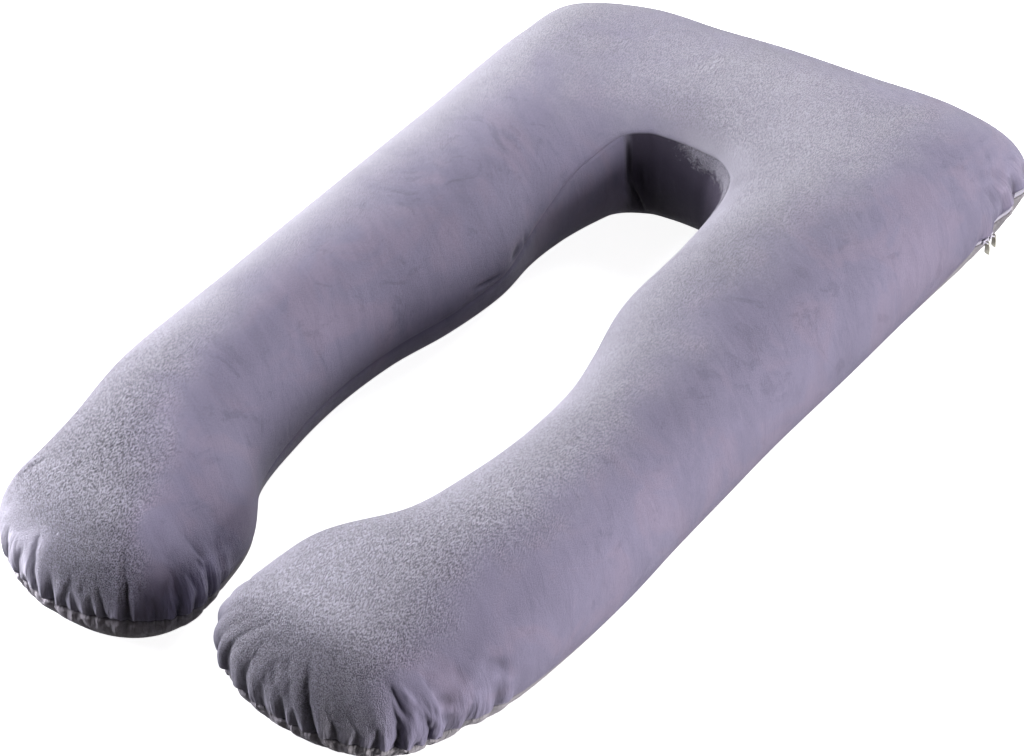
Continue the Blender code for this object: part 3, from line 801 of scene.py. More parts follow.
def crease_depth(cover):
    """How far the short creases dip."""
    depth = np.zeros(cover.up.shape)
    for place, (along_a, up_a), (along_b, up_b), deep, width in CREASES:
        along = cover.outline.distance_from(place)
        run_x = (along_b - along_a) * cover.shrink
        run_y = up_b - up_a
        x = (along - along_a) * cover.shrink
        y = cover.up - up_a
        share = clipped((x * run_x + y * run_y) / (run_x ** 2 + run_y ** 2))
        gap = np.hypot(x - share * run_x, y - share * run_y)
        fade = np.sin(np.pi * np.clip(share, CREASE_ENDS, 1 - CREASE_ENDS)) ** CREASE_FADE
        depth += deep * np.exp(-(gap / width) ** 2) * fade
    return depth


def lumps(points, size, height):
    """Soft unevenness of the filling, made of a few slow waves that cross each other."""
    rng = np.random.default_rng(LUMP_SEED)
    total = np.zeros(points.shape[:2])
    for _ in range(LUMP_WAVES):
        heading = unit(rng.normal(size=3))
        pace = 2 * np.pi / (size * rng.uniform(*LUMP_SPREAD))
        total += np.sin(points @ heading * pace + rng.uniform(0, 2 * np.pi))
    return height * total / math.sqrt(LUMP_WAVES)


def seam_valley(cover, depth, width):
    """The valley that the stitching draws along the seam."""
    return depth * np.exp(-(abs(cover.up) / width) ** SEAM_POWER)


def folded_cover(outline, shape):
    """The cover with its lumps, gathers and creases, as it is before its cloth settles."""
    cover = Cover(outline)
    folds = gather_depth(cover, shape.gather_scale) + crease_depth(cover)
    clear = clipped(cover.points[:, :, 2] / FLOOR_CLEAR)
    soft = lumps(cover.points, shape.lump_size, shape.lump_height)
    return cover, cover.points + cover.normals * ((soft - folds) * clear)[:, :, None]


def relief_of(cover, points):
    """How far each point stands out of the cloth round it."""
    height = np.einsum("rcx,rcx->rc", points - cover.points, cover.normals)
    return height - smoothed(height[:, :, None])[:, :, 0]


def smoothed(values):
    """Values of the rings and columns, each averaged with its neighbours over and over."""
    around = values
    for _ in range(SMOOTHINGS):
        around = 0.5 * around + 0.25 * (np.roll(around, 1, axis=1) + np.roll(around, -1, axis=1))
        padded = np.pad(around, ((1, 1), (0, 0), (0, 0)), mode="edge")
        around = 0.5 * around + 0.25 * (padded[2:] + padded[:-2])
    return around


# ---------------------------------------------------------------- the cover as cloth

def eased_cloth(cover):
    """For each point, how firmly it is held and how much spare cloth it has, both 0 to 1."""
    spare = np.zeros(cover.outline.count)
    for place, start, finish, amount in EASED:
        away = cover.outline.distance_from(place)
        inside = ramp(away, start, EASED_FADE) * clipped((finish - away) / EASED_FADE)
        spare = np.maximum(spare, inside * amount / MOST_SPARE)
    near = clipped(1 - cover.up / EASED_RISE) * clipped(1 + cover.up / HELD_UNDER)
    rise = clipped((HELD_FROM + HELD_OVER - cover.up) / HELD_OVER)
    drop = clipped((HELD_UNDER + cover.up) / (HELD_UNDER / 2))
    free = rise * drop * clipped(FREE_GAIN * spare)
    free[seam_row()] = 0.0
    return 1 - free, spare * near


def seam_row():
    """The ring of the cover that is the seam."""
    return len(NEAR_SEAM) + ABOVE_RINGS


def cloth_mesh(points, held, spare):
    """A mesh through some of the cover's rings and columns, with its hold and spare cloth."""
    bm = closed_grid(points)
    weights = bm.verts.layers.deform.verify()
    ring, column = bm.verts.layers.int["ring"], bm.verts.layers.int["column"]
    for vert in bm.verts:
        at = (vert[ring], vert[column] % points.shape[1])
        vert[weights][0] = held[at]
        vert[weights][1] = 1 - spare[at]
    mesh = bpy.data.meshes.new("cloth")
    bm.to_mesh(mesh)
    bm.free()
    return mesh


def add_cloth(piece, pressure):
    """Makes cloth of a piece, pressed out by its filling and without weight."""
    piece.vertex_groups.new(name="held")
    piece.vertex_groups.new(name="taut")
    modifier = piece.modifiers.new("cloth", "CLOTH")
    modifier.point_cache.frame_start = 1
    modifier.point_cache.frame_end = CLOTH_FRAMES
    for name, value in CLOTH:
        setattr(modifier.settings, name, value)
    modifier.settings.uniform_pressure_force = pressure
    modifier.settings.effector_weights.gravity = 0.0
    modifier.collision_settings.use_collision = False


def settled_move(points, held, spare, pressure):
    """How far each point of the cloth moves until it has settled under the pressure."""
    mesh = cloth_mesh(points, held, spare)
    piece = bpy.data.objects.new("cloth", mesh)
    scene = bpy.context.scene
    scene.collection.objects.link(piece)
    add_cloth(piece, pressure)
    for number in range(1, CLOTH_FRAMES + 1):
        scene.frame_set(number)
    settled = piece.evaluated_get(bpy.context.evaluated_depsgraph_get()).data
    spots = np.empty(len(settled.vertices) * 3)
    settled.vertices.foreach_get("co", spots)
    ring, column = (np.empty(len(mesh.vertices), dtype=int) for _ in range(2))
    mesh.attributes["ring"].data.foreach_get("value", ring)
    mesh.attributes["column"].data.foreach_get("value", column)
    column %= points.shape[1]
    move = np.zeros(points.shape)
    move[ring, column] = spots.reshape(-1, 3) - points[ring, column]
    bpy.data.objects.remove(piece)
    bpy.data.meshes.remove(mesh)
    scene.frame_set(1)
    return move


def settle_cloth(cover, points, pressure):
    """Lets the cover out as cloth and gives its points with the folds that it takes."""
    held, spare = eased_cloth(cover)
    row, near = seam_row(), len(NEAR_SEAM)
    rings = np.array([0, *range(2, row - near, 2), *CLOTH_NEAR_SEAM,
                      *range(row + near + 1, len(points), 2)])
    columns = np.arange(0, points.shape[1] - 1, 2)
    some = np.ix_(rings, columns)
    move = settled_move(points[some], held[some], spare[some], pressure)
    length = np.maximum(np.linalg.norm(move, axis=2, keepdims=True), TINY)
    move *= MOST_MOVE / length * np.tanh(length / MOST_MOVE)
    move = spread(spread(move, rings, len(points)), columns, points.shape[1], axis=1)
    return points + move - smoothed(move)


def spread(values, kept, count, axis=0):
    """Values of some rings, or with axis 1 of some columns, read for all of them along a smooth
    curve. The columns close into a ring."""
    values = np.moveaxis(values, axis, 0)
    at = np.clip(np.searchsorted(kept, np.arange(count), side="right") - 1, 0, len(kept) - 1)
    reach = np.append(kept, count)
    share = ((np.arange(count) - kept[at]) / (reach[at + 1] - kept[at]))[:, None, None]
    before, after = ([-1], [0, 1]) if axis else ([0], [-1, -1])
    line = np.concatenate([values[before], values, values[after]])
    curve = smooth_between(*(line[at + k] for k in range(4)), share)
    return np.moveaxis(curve, 0, axis)


# ---------------------------------------------------------------- the zip's place in the seam

def zip_field(outline):
    """For each column: 1 along the zip, how wide it gapes, and how far its ripples stand out."""
    place = outline.distance_from("zip corner")
    share = ramp(place, ZIP_START, ZIP_FADE) * clipped((ZIP_END - place) / ZIP_FADE)
    gape = np.zeros(outline.count)
    for start, finish in ZIP_GAPES:
        middle, half = (start + finish) / 2, (finish - start) / 2
        gape = np.maximum(gape, clipped((half + GAPE_FADE - abs(place - middle)) / GAPE_FADE))
    knots = [ZIP_START, *(end for gap in ZIP_GAPES for end in gap), ZIP_END]
    levels = [0.0, *(-RIPPLE_HALF, RIPPLE_HALF) * len(ZIP_GAPES), 0.0]
    ripple = np.interp(place, knots, levels, left=0.0, right=0.0)
    around = np.concatenate([ripple[-1:], ripple, ripple[:1]])
    ripple = np.convolve(around, (0.25, 0.5, 0.25), mode="valid")
    return share, gape * gape * (3 - 2 * gape), ripple


class SeamPlace:
    """Points beside the seam, by their height above it and their depth in it."""

    def __init__(self, cover, points, shape):
        row = seam_row()
        self.outline = cover.outline
        self.share, self.gape, ripple = zip_field(cover.outline)
        self.ripple = ripple * shape.zip_ripple
        self.normal = cover.normals[row]
        self.seam = points[row] + self.normal * self.ripple[:, None]
        self.above = normalised(cover.points[row - LIP_RINGS] - cover.points[row])
        self.below = normalised(cover.points[row + LIP_RINGS] - cover.points[row])

    def at(self, up, inwards):
        """Points up along the cover and inwards into it, for each column."""
        up = np.broadcast_to(up, (self.outline.count,))[:, None]
        inwards = np.broadcast_to(inwards, (self.outline.count,))[:, None]
        side = np.where(up >= 0, self.above, self.below)
        return self.seam + side * abs(up) - self.normal * inwards

    def columns(self):
        """The columns that the zip takes."""
        place = self.outline.distance_from("zip corner")
        return np.flatnonzero((place > ZIP_START) & (place < ZIP_END))

    def frame_at(self, cut_place, inwards):
        """Place on the zip's face: along it, up across it and out of the cover."""
        line = self.at(0.0, inwards)
        column = self.outline.column_at(cut_place)
        k = int(column)
        share = column - k
        spot = Vector(line[k] * (1 - share) + line[k + 1] * share)
        along = Vector(line[k + 2] - line[k - 1]).normalized()
        up = Vector(self.normal[k]).cross(along).normalized()
        return axes_at(spot, along, up, along.cross(up))


def seam_place(shape):
    """The seam of the cover as it is before its cloth settles."""
    cover, points = folded_cover(dressed_outline(shape), shape)
    return SeamPlace(cover, points, shape)


def open_slot(points, place, shape):
    """Opens the seam's rings into lips on both sides of the zip."""
    row = seam_row()
    half = shape.zip_gap / 2 * place.gape + CLOSED_GAP
    slot = (
        # up the cover               inwards
        (0.0,                        SLOT_DEPTH),
        (half,                       SLOT_DEPTH),
        (half - LIP_ROLL,            LIP_ROLL),
        (half + LIP_ROLL,            -LIP_PROUD),
        (half + LIP_BACK * LIP_ROLL, -LIP_CREST * LIP_PROUD),
    )
    for k, (up, inwards) in enumerate(slot):
        for sign in (1, -1):
            target = place.at(sign * np.maximum(up, SEAM_HAIR), inwards)
            ring = row - sign * k
            points[ring] += (target - points[ring]) * place.share[:, None]


# ---------------------------------------------------------------- shader maths

class Value:
    """A shader socket that Python's operators work on. Each operator adds a Math node."""

    def __init__(self, shader, socket):
        self.shader = shader
        self.socket = socket

    def math(self, operation, first, second):
        return self.shader.node("ShaderNodeMath", {"operation": operation}, {0: first, 1: second})

    def __add__(self, other):
        return self.math("ADD", self, other)

    def __radd__(self, other):
        return self.math("ADD", other, self)

    def __sub__(self, other):
        return self.math("SUBTRACT", self, other)

    def __rsub__(self, other):
        return self.math("SUBTRACT", other, self)

    def __mul__(self, other):
        return self.math("MULTIPLY", self, other)

    def __rmul__(self, other):
        return self.math("MULTIPLY", other, self)

    def eased(self, low, high):
        """0 below low and 1 above high, with a smooth step between."""
        return self.shader.node("ShaderNodeMapRange", {"interpolation_type": "SMOOTHSTEP"},
                                {"Value": self, "From Min": low, "From Max": high})


class Shader:
    """One material's tree: node adds any node, and the rest are the ones used often."""

    def __init__(self, name, **fixed):
        self.material = bpy.data.materials.new(name)
        self.material.use_nodes = True
        self.tree = self.material.node_tree
        self.surface = self.tree.nodes["Principled BSDF"]
        for socket, value in fixed.items():
            self.surface.inputs[socket.replace("_", " ")].default_value = value
        self.object_place = self.node("ShaderNodeTexCoord", {}, {}, "Object")

    def node(self, kind, settings, sockets, output=0):
        """Adds a node, sets it up, fills or links its sockets, and gives one of its outputs."""
        made = self.tree.nodes.new(kind)
        for name, value in settings.items():
            setattr(made, name, value)
        for name, value in sockets.items():
            if isinstance(value, Value):
                self.tree.links.new(value.socket, made.inputs[name])
            else:
                made.inputs[name].default_value = value
        return Value(self, made.outputs[output])

    def noise(self, scale, detail=2.0, roughness=0.5, distortion=0.0, place=None):
        sockets = {"Vector": place or self.object_place, "Scale": scale, "Detail": detail,
                   "Roughness": roughness, "Distortion": distortion}
        return self.node("ShaderNodeTexNoise", {}, sockets)

    def stretched(self, scale, turn=(0.0, 0.0, 0.0)):
        """Object coordinates, turned and then stretched."""
        turned = self.node("ShaderNodeMapping", {},
                           {"Vector": self.object_place, "Rotation": turn})
        return self.node("ShaderNodeMapping", {}, {"Vector": turned, "Scale": scale})

    def waves(self, place, direction, scale, distortion):
        """Bands of light and dark across a direction."""
        return self.node("ShaderNodeTexWave", {"wave_type": "BANDS", "bands_direction": direction},
                         {"Vector": place, "Scale": scale, "Distortion": distortion}, "Fac")

    def attribute(self, name):
        return self.node("ShaderNodeAttribute", {"attribute_name": name}, {}, "Fac")

    def mix(self, factor, first, second):
        """One colour into another."""
        sockets = {"Factor": factor, 6: rgba(first), 7: rgba(second)}
        return self.node("ShaderNodeMix", {"data_type": "RGBA"}, sockets, 2)

    def lit(self, colour, amount):
        """A colour times a number."""
        sockets = {0: colour, "Scale": amount}
        return self.node("ShaderNodeVectorMath", {"operation": "SCALE"}, sockets)

    def bump(self, height, distance, strength=1.0):
        return self.node("ShaderNodeBump", {}, {"Height": height, "Distance": distance,
                                                "Strength": strength})

    def feed(self, **links):
        """Links values to the surface's sockets and gives the finished material."""
        for socket, value in links.items():
            self.tree.links.new(value.socket, self.surface.inputs[socket.replace("_", " ")])
        return self.material


def rgba(colour):
    """A colour as a socket takes it."""
    return colour if isinstance(colour, Value) else (*colour, 1.0)


def velvet_material(colours):
    """Short-pile velvet: painted pale and greyer as painted light where it faces the light side,
    and painted purple as painted shade where it faces away. It has a fleecy grain between, faint
    strokes across the legs, a painted highlight on the folds' crests, and painted shade in their
    valleys and along the seam."""
    shader = Shader("velvet", Roughness=0.92, Sheen_Weight=0.32, Sheen_Roughness=0.38,
                    Sheen_Tint=(0.94, 0.93, 1.0, 1.0), Specular_IOR_Level=0.10)

    def noise(name, place=None):
        return shader.noise(*VELVET_NOISE[name], place=place)

    def mask(value, name):
        return value.eased(*VELVET_EDGES[name])

    tones, relief = VELVET_TONE, VELVET_RELIEF
    under, pale, fold = (shader.attribute(name) for name in ("under", "pale", "fold"))
    pleated = shader.attribute("pleated")
    patches = noise("patches")
    # How far the velvet faces the light side, shifted by brushed patches and noise: this places the
    # painted light and the painted shade.
    lie = shader.attribute("lie") + pale * BRUSHED_LIGHT_SHIFT
    lie = lie + (noise("drift") - 0.5) * DRIFT_LIGHT_SHIFT + (patches - 0.5) * PATCHES_LIGHT_SHIFT
    # The side turned from the light, which is painted purple shade.
    away = mask(0.0 - lie, "away")
    rubbing = shader.attribute("worn") + (noise("rubbing") - 0.5) * RUB_ROUGH
    worn = mask(rubbing, "rubbing")
    # The strong grain sits in the band where the velvet turns from the light: partly the pile's
    # grain, partly painted light and shade of its relief where the light grazes.
    grained = mask(lie, "grain") * (1.0 - mask(lie, "past grain"))
    grained = grained * (shader.attribute("fleecy") * (GRAIN_LEAST + GRAIN_PATCHY * patches))
    grained = grained * (1.0 - under) + worn * under * RUB_GRAIN
    strokes = noise("strokes", shader.stretched(STROKES_STRETCH, (0.0, 0.0, STROKES_TURN)))
    fleece = noise("fleece", shader.stretched(FLEECE_STRETCH, (0.0, 0.0, FLEECE_TURN)))
    pleats = noise("pleats", shader.node("ShaderNodeCombineXYZ", {}, {
        "X": shader.attribute("run") * PLEATS_ALONG, "Y": shader.attribute("up") * PLEATS_UP}))

    tone = 1.0 + (mask(fleece, "fleece") - 0.5) * (
        tones["fleece"] + tones["fleece in the grain"] * grained)
    tone = tone + (mask(strokes, "strokes") - 0.5) * tones["strokes"] * away
    tone = tone + (patches - 0.5) * tones["patches"]
    # Painted light on the side facing the light, and the brushed patches, partly painted sheen and
    # shade.
    tone = tone + tones["towards"] * mask(lie, "towards") + tones["brushed"] * pale
    # Darker smudges, darker still on the painted shade side.
    tone = tone - mask(noise("smudges"), "smudges") * (
        tones["smudges"] + tones["smudges away"] * away)
    # Painted light and shade across the fine pleats' relief.
    tone = tone + (mask(pleats, "pleats") - 0.5) * tones["pleats"] * pleated
    # Painted highlight on fold crests and painted shade in fold valleys.
    tone = tone * (1.0 + tones["crest_highlight"] * mask(fold, "crest_highlight"))
    tone = tone * (1.0 - tones["valley"] * mask(0.0 - fold, "valley"))
    # Painted shade along the seam's groove.
    tone = tone * (1.0 - tones["stitch"] * shader.attribute("stitch"))

    # Painted purple shade on the side turned from the light, with pinker patches in it.
    colour = shader.mix(away * (1.0 - under), colours.velvet, colours.velvet_shade_side)
    colour = shader.mix(mask(patches, "pink") * away * PINK_MOST, colour, colours.velvet_pink)
    # The bottom panel, paler as partly painted floor bounce, and painted shade where it walls the
    # hole.
    bottom = shader.mix(shader.attribute("wall"), colours.velvet_under_and_bounce, colours.velvet_wall_shade)
    colour = shader.mix(under * (1.0 - worn * RUB_BARE), colour, bottom)

    height = fleece * (relief["fleece"] + relief["fleece in the grain"] * grained)
    height = height + noise("pile") * relief["pile"] + strokes * relief["strokes"]
    height = height + pleats * pleated * relief["pleats"]
    return shader.feed(Base_Color=shader.lit(colour, tone),
                       Normal=shader.bump(height, PILE_DEEP, PILE_STRENGTH))


def tape_material(colours):
    """Woven zip tape: fine ribs across, finer threads along, and a little soiled."""
    shader = Shader("zip_tape_cloth", Roughness=0.8, Sheen_Weight=0.2, Sheen_Roughness=0.5)
    run = shader.node("ShaderNodeUVMap", {"uv_map": "weave"}, {})
    ribs = shader.waves(run, "X", scale=420.0, distortion=0.4)
    threads = shader.waves(run, "Y", scale=300.0, distortion=0.2)
    soil = shader.noise(60.0, detail=3.0, roughness=0.6)
    soiled = soil.eased(0.4, 0.8) * 0.25
    tone = 0.90 + 0.08 * ribs + 0.06 * (soil - 0.5)
    colour = shader.mix(soiled, colours.tape, colours.coil)
    return shader.feed(Base_Color=shader.lit(colour, tone),
                       Normal=shader.bump(ribs * 0.6 + threads * 0.4, distance=0.0003))


def coil_material(colours):
    """Pale moulded plastic, a little duller where it is handled."""
    shader = Shader("zip_coil_plastic")
    scuff = shader.noise(900.0, detail=3.0, roughness=0.6)
    scuffed = scuff.eased(0.35, 0.75) * 0.5
    return shader.feed(Base_Color=shader.mix(scuffed, colours.coil, colours.tape),
                       Roughness=0.28 + 0.25 * scuff)


def metal_material(colours):
    """Antique nickel: brushed, and darker in its dents."""
    shader = Shader("zip_metal", Metallic=1.0)
    lines = shader.stretched((2400.0, 2400.0, 160.0))
    brushed = shader.noise(1.0, detail=3.0, roughness=0.6, place=lines)
    dents = shader.noise(420.0, detail=3.0, roughness=0.55)
    dark = tuple(METAL_DARK * part for part in colours.metal)
    dented = dents.eased(0.45, 0.8) * 0.6
    return shader.feed(Base_Color=shader.mix(dented, colours.metal, dark),
                       Roughness=0.26 + 0.18 * brushed + 0.15 * dents,
                       Normal=shader.bump(brushed, distance=0.00004, strength=0.5))


def slider_material(colours):
    """Pale enamel on the sliders' bodies, chipped here and there."""
    shader = Shader("zip_enamel", Coat_Weight=0.3)
    chips = shader.noise(600.0, detail=3.0, roughness=0.6)
    chipped = chips.eased(0.62, 0.72)
    return shader.feed(Base_Color=shader.mix(chipped, colours.coil, colours.metal),
                       Roughness=0.3 + 0.3 * chips)


def floor_material(glow):
    """A pale studio floor with the faintest mottle, which glows so that shadows stay soft."""
    shader = Shader("studio_floor", Roughness=0.9, Emission_Color=(1.0, 1.0, 1.0, 1.0),
                    Emission_Strength=glow)
    haze = shader.noise(1.5, detail=2.0, roughness=0.5)
    return shader.feed(Base_Color=shader.mix(haze, FLOOR_PALE, FLOOR_PALER))


# ---------------------------------------------------------------- making pieces

def finish_piece(name, bm, material, slot, *nodes):
    """A bmesh as a piece that rides on the pillow and stands for its CAD nodes."""
    mesh = bpy.data.meshes.new(name)
    bm.to_mesh(mesh)
    bm.free()
    mesh.shade_smooth()
    mesh.materials.append(material)
    piece = bpy.data.objects.new(name, mesh)
    bpy.context.scene.collection.objects.link(piece)
    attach(piece, "root")
    if nodes:
        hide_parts(*nodes)
    return piece


def closed_grid(points):
    """A closed skin through rings of points: a grid whose side edges are welded together."""
    rings, columns, _ = points.shape
    bm = bmesh.new()
    bmesh.ops.create_grid(bm, x_segments=columns, y_segments=rings - 1, size=1.0)
    bm.verts.ensure_lookup_table()
    ring = bm.verts.layers.int.new("ring")
    column = bm.verts.layers.int.new("column")
    for k, vert in enumerate(bm.verts):
        vert[ring], vert[column] = divmod(k, columns + 1)
        vert.co = points[vert[ring], vert[column] % columns]
    bmesh.ops.remove_doubles(bm, verts=bm.verts[:], dist=MERGE)
    bmesh.ops.recalc_face_normals(bm, faces=bm.faces[:])
    return bm


def paint(bm, name, values):
    """Keeps a value of each ring and column on the points, for the material to read. A row of
    values serves all rings, and the floor's ring takes the last one's."""
    layer = bm.verts.layers.float.new(name)
    ring = bm.verts.layers.int["ring"]
    column = bm.verts.layers.int["column"]
    values = np.atleast_2d(values)
    rings, columns = values.shape
    for vert in bm.verts:
        vert[layer] = values[min(vert[ring], rings - 1), vert[column] % columns]


def strip(rings, width):
    """A closed strip through cross-sections of four points, with its length and width as UVs."""
    bm = bmesh.new()
    corner = bm.verts.layers.int.new("corner")
    at = bm.verts.layers.int.new("at")
    start = bmesh.ops.create_circle(bm, segments=len(rings[0]), radius=1.0)["verts"]
    for k, vert in enumerate(start):
        vert[corner] = k
        vert.co = rings[0][k]
    edges = bm.edges[:]
    for number, points in enumerate(rings[1:], 1):
        made = bmesh.ops.extrude_edge_only(bm, edges=edges)["geom"]
        verts = {part for part in made if isinstance(part, bmesh.types.BMVert)}
        for vert in verts:
            vert.co = points[vert[corner]]
            vert[at] = number
        edges = [part for part in made
                 if isinstance(part, bmesh.types.BMEdge) and set(part.verts) <= verts]
    bmesh.ops.holes_fill(bm, edges=bm.edges[:])
    bmesh.ops.recalc_face_normals(bm, faces=bm.faces[:])
    uv = bm.loops.layers.uv.new("weave")
    run = run_along(rings[:, 0])
    across = (0.0, 0.0, width, width)
    for face in bm.faces:
        for loop in face.loops:
            loop[uv].uv = (run[loop.vert[at]], across[loop.vert[corner]])
    return bm


def settings():
    """The sizes and colours set in the panel."""
    scene = bpy.context.scene
    return scene.body_pillow_shape, scene.body_pillow_colours


def dressed_outline(shape):
    """The outline at the cover's own spacing, moved to where the frame has the pillow."""
    outline = Outline(shape.column_step, shape.end_columns)
    low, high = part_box("pillow_cover")
    for axis in range(2):
        middle = (outline.edge[:, axis].min() + outline.edge[:, axis].max()) / 2
        shift = (low[axis] + high[axis]) / 2 - middle
        outline.edge[:, axis] += shift
        outline.ridge[:, axis] += shift
    return outline


def panel_shown(outline):
    """For each column, how far the bottom panel shows as another cloth."""
    past_end = ramp(outline.distance_from("left end"), PANEL_ENDS, PANEL_ENDS_OVER)
    before_hole = clipped((PANEL_STARTS - outline.distance_from("hole")) / PANEL_STARTS_OVER)
    return 1.0 - past_end * before_hole


def brushed_pile_and_sheen(x, y):
    """How much paler or darker the velvet is painted at each point: the brushed pile, partly
    painted sheen and shade.
    """
    pale = np.zeros(x.shape)
    for spot_x, spot_y, reach, amount in BRUSHED_AND_SHEEN:
        pale += amount * np.exp(-(np.hypot(x - spot_x, y - spot_y) / reach) ** 2)
    return pale


def fleecy_grain(x, y, up):
    """How strong the fleecy grain is at each point."""
    places, right, left = np.array(FLEECY).T
    fleecy = np.where(x > 0, np.interp(y, places, right), np.interp(y, places, left))
    return fleecy * ramp(up, SMOOTH_BELOW, SMOOTH_OVER)


def pleated_edge(outline):
    """For each column, its distance along the edge that it is eased on, and how far it is."""
    run = np.zeros(outline.count)
    pleated = np.zeros(outline.count)
    for place, start, finish, _ in EASED:
        away = outline.distance_from(place)
        inside = clipped(np.minimum(away - start, finish - away) / EASED_FADE)
        run = np.where(inside > 0, away, run)
        pleated = np.maximum(pleated, inside)
    return run, pleated


def paint_cover(bm, cover, relief):
    """Keeps on the cover's points what the velvet's colour, its painted light and shade, and its
    relief depend on.
    """
    outline, up = cover.outline, cover.up
    x, y = cover.points[:, :, 0], cover.points[:, :, 1]
    shown = panel_shown(outline)
    wall = clipped(WALL_GAIN * outline.wall)
    rubbed = ramp(outline.distance_from("hole"), WORN_FROM, WORN_OVER)
    run, pleated = pleated_edge(outline)
    # Fold relief, for the painted highlight on crests and painted shade in valleys.
    paint(bm, "fold", relief)
    paint(bm, "under", clipped(-up / PANEL_EDGE) * shown)
    # Painted shade along the seam's groove.
    paint(bm, "stitch", np.exp(-(up / SEAM_SHADE_REACH) ** 2) * shown)
    # Where the hole's wall takes its painted shade.
    paint(bm, "wall", wall)
    paint(bm, "worn", rubbed * wall * clipped(1 + up / WORN_DEEP) * (up < 0))
    # Brushed patches, partly painted sheen and shade.
    paint(bm, "pale", brushed_pile_and_sheen(x, y))
    # How far each point faces the light side, for the painted light and shade.
    paint(bm, "lie", cover.normals @ np.array(LIGHT_SIDE))
    paint(bm, "fleecy", fleecy_grain(x, y, up))
    paint(bm, "run", run)
    paint(bm, "up", up)
    paint(bm, "pleated", pleated * clipped(1 - abs(up) / PLEAT_RISE))


class PILLOW_OT_cover(bpy.types.Operator):
    """Makes the velvet cover with its seam, gathers and creases"""
    bl_idname = "pillow.cover"
    bl_label = "Velvet cover"

    def execute(self, context):
        shape, colours = settings()
        cover, points = folded_cover(dressed_outline(shape), shape)
        place = SeamPlace(cover, points, shape)
        points = settle_cloth(cover, points, shape.pressure)
        relief = relief_of(cover, points)
        ripple = place.ripple * np.exp(-(cover.up / RIPPLE_REACH) ** 2)
        valley = seam_valley(cover, shape.seam_depth, shape.seam_width)
        points += cover.normals * (ripple - valley)[:, :, None]
        points[:, :, 2] = np.maximum(points[:, :, 2], 0.0)
        open_slot(points, place, shape)
        base = np.column_stack([cover.outline.ridge, np.zeros(cover.outline.count)])
        bm = closed_grid(np.concatenate([points, base[None]]))
        paint_cover(bm, cover, relief)
        piece = finish_piece("velvet_cover", bm, velvet_material(colours), "velvet", "pillow_cover")
        return {"FINISHED"}


class PILLOW_OT_zip_tape(bpy.types.Operator):
    """Makes the zip's tape in the seam's slot"""
    bl_idname = "pillow.zip_tape"
    bl_label = "Zip tape"

    def execute(self, context):
        shape, colours = settings()
        place = seam_place(shape)
        half, face, back = TAPE_WIDTH / 2, TAPE_DEPTH, TAPE_DEPTH + TAPE_THICK
        corners = [place.at(up, inwards)[place.columns()]
                   for up, inwards in ((half, face), (half, back), (-half, back), (-half, face))]
        bm = strip(np.stack(corners, axis=1), TAPE_WIDTH)
        finish_piece("zip_tape_woven", bm, tape_material(colours), "zip_tape", "zip_tape")
        return {"FINISHED"}


class PILLOW_OT_zip_coil(bpy.types.Operator):
    """Makes the zip's coil as two rows of turns that mesh"""
    bl_idname = "pillow.zip_coil"
    bl_label = "Zip coil"

    def execute(self, context):
        shape, colours = settings()
        place = seam_place(shape)
        line = place.at(0.0, TAPE_DEPTH - COIL_THICK / 2)[place.columns()]
        out = place.normal[place.columns()]
        run = run_along(line)
        bm = bmesh.new()
        for k in range(2 * int(run[-1] / COIL_PITCH)):
            at = (k + 1) * COIL_PITCH / 2
            spot = read_along(run, line, at)
            ahead = read_along(run, line, at + COIL_PITCH)
            coil_turn(bm, spot, ahead - spot, read_along(run, out, at), 1 if k % 2 else -1)
        finish_piece("zip_coil", bm, coil_material(colours), "zip_chain", "zip_chain")
        return {"FINISHED"}


def read_along(run, rows, at):
    """The row at a distance along the line, as a vector."""
    return Vector([np.interp(at, run, rows[:, axis]) for axis in range(3)])


def coil_turn(bm, spot, along, out, side):
    """One turn of the coil: a rounded bar that slants across from the middle."""
    along = along.normalized()
    up = out.cross(along).normalized()
    axes = axes_at(spot, along, up, along.cross(up))
    lean = Matrix.Rotation(math.radians(COIL_LEAN * side), 4, "Z")
    shift = Matrix.Translation((0, side * COIL_HALF * COIL_OFFSET, 0))
    size = Matrix.Diagonal((COIL_BAR, COIL_HALF, COIL_THICK, 1.0))
    bmesh.ops.create_icosphere(bm, subdivisions=1, radius=COIL_ROUND,
                               matrix=axes @ lean @ shift @ size)


class PILLOW_OT_zip_sliders(bpy.types.Operator):
    """Makes the sliders and the flat pulls that hang from them"""
    bl_idname = "pillow.zip_sliders"
    bl_label = "Zip sliders and pulls"

    def execute(self, context):
        shape, colours = settings()
        place = seam_place(shape)
        metal = metal_material(colours)
        enamel = slider_material(colours)
        for name, cut_place, turn in SLIDERS:
            axes = place.frame_at(cut_place, TAPE_DEPTH - COIL_THICK - SLIDER_GAP)
            finish_piece("slider_" + name, slider_mesh(axes), enamel, "zip_metal",
                         "zip_slider_" + name)
            finish_piece("pull_" + name, pull_mesh(axes, turn), metal, "zip_metal",
                         "zip_pull_" + name)
        return {"FINISHED"}


def joined(bm, verts):
    """All the points that edges join to these."""
    reached, edge_on = set(verts), set(verts)
    while edge_on:
        edge_on = {edge.other_vert(vert) for vert in edge_on for edge in vert.link_edges} - reached
        reached |= edge_on
    return list(reached)


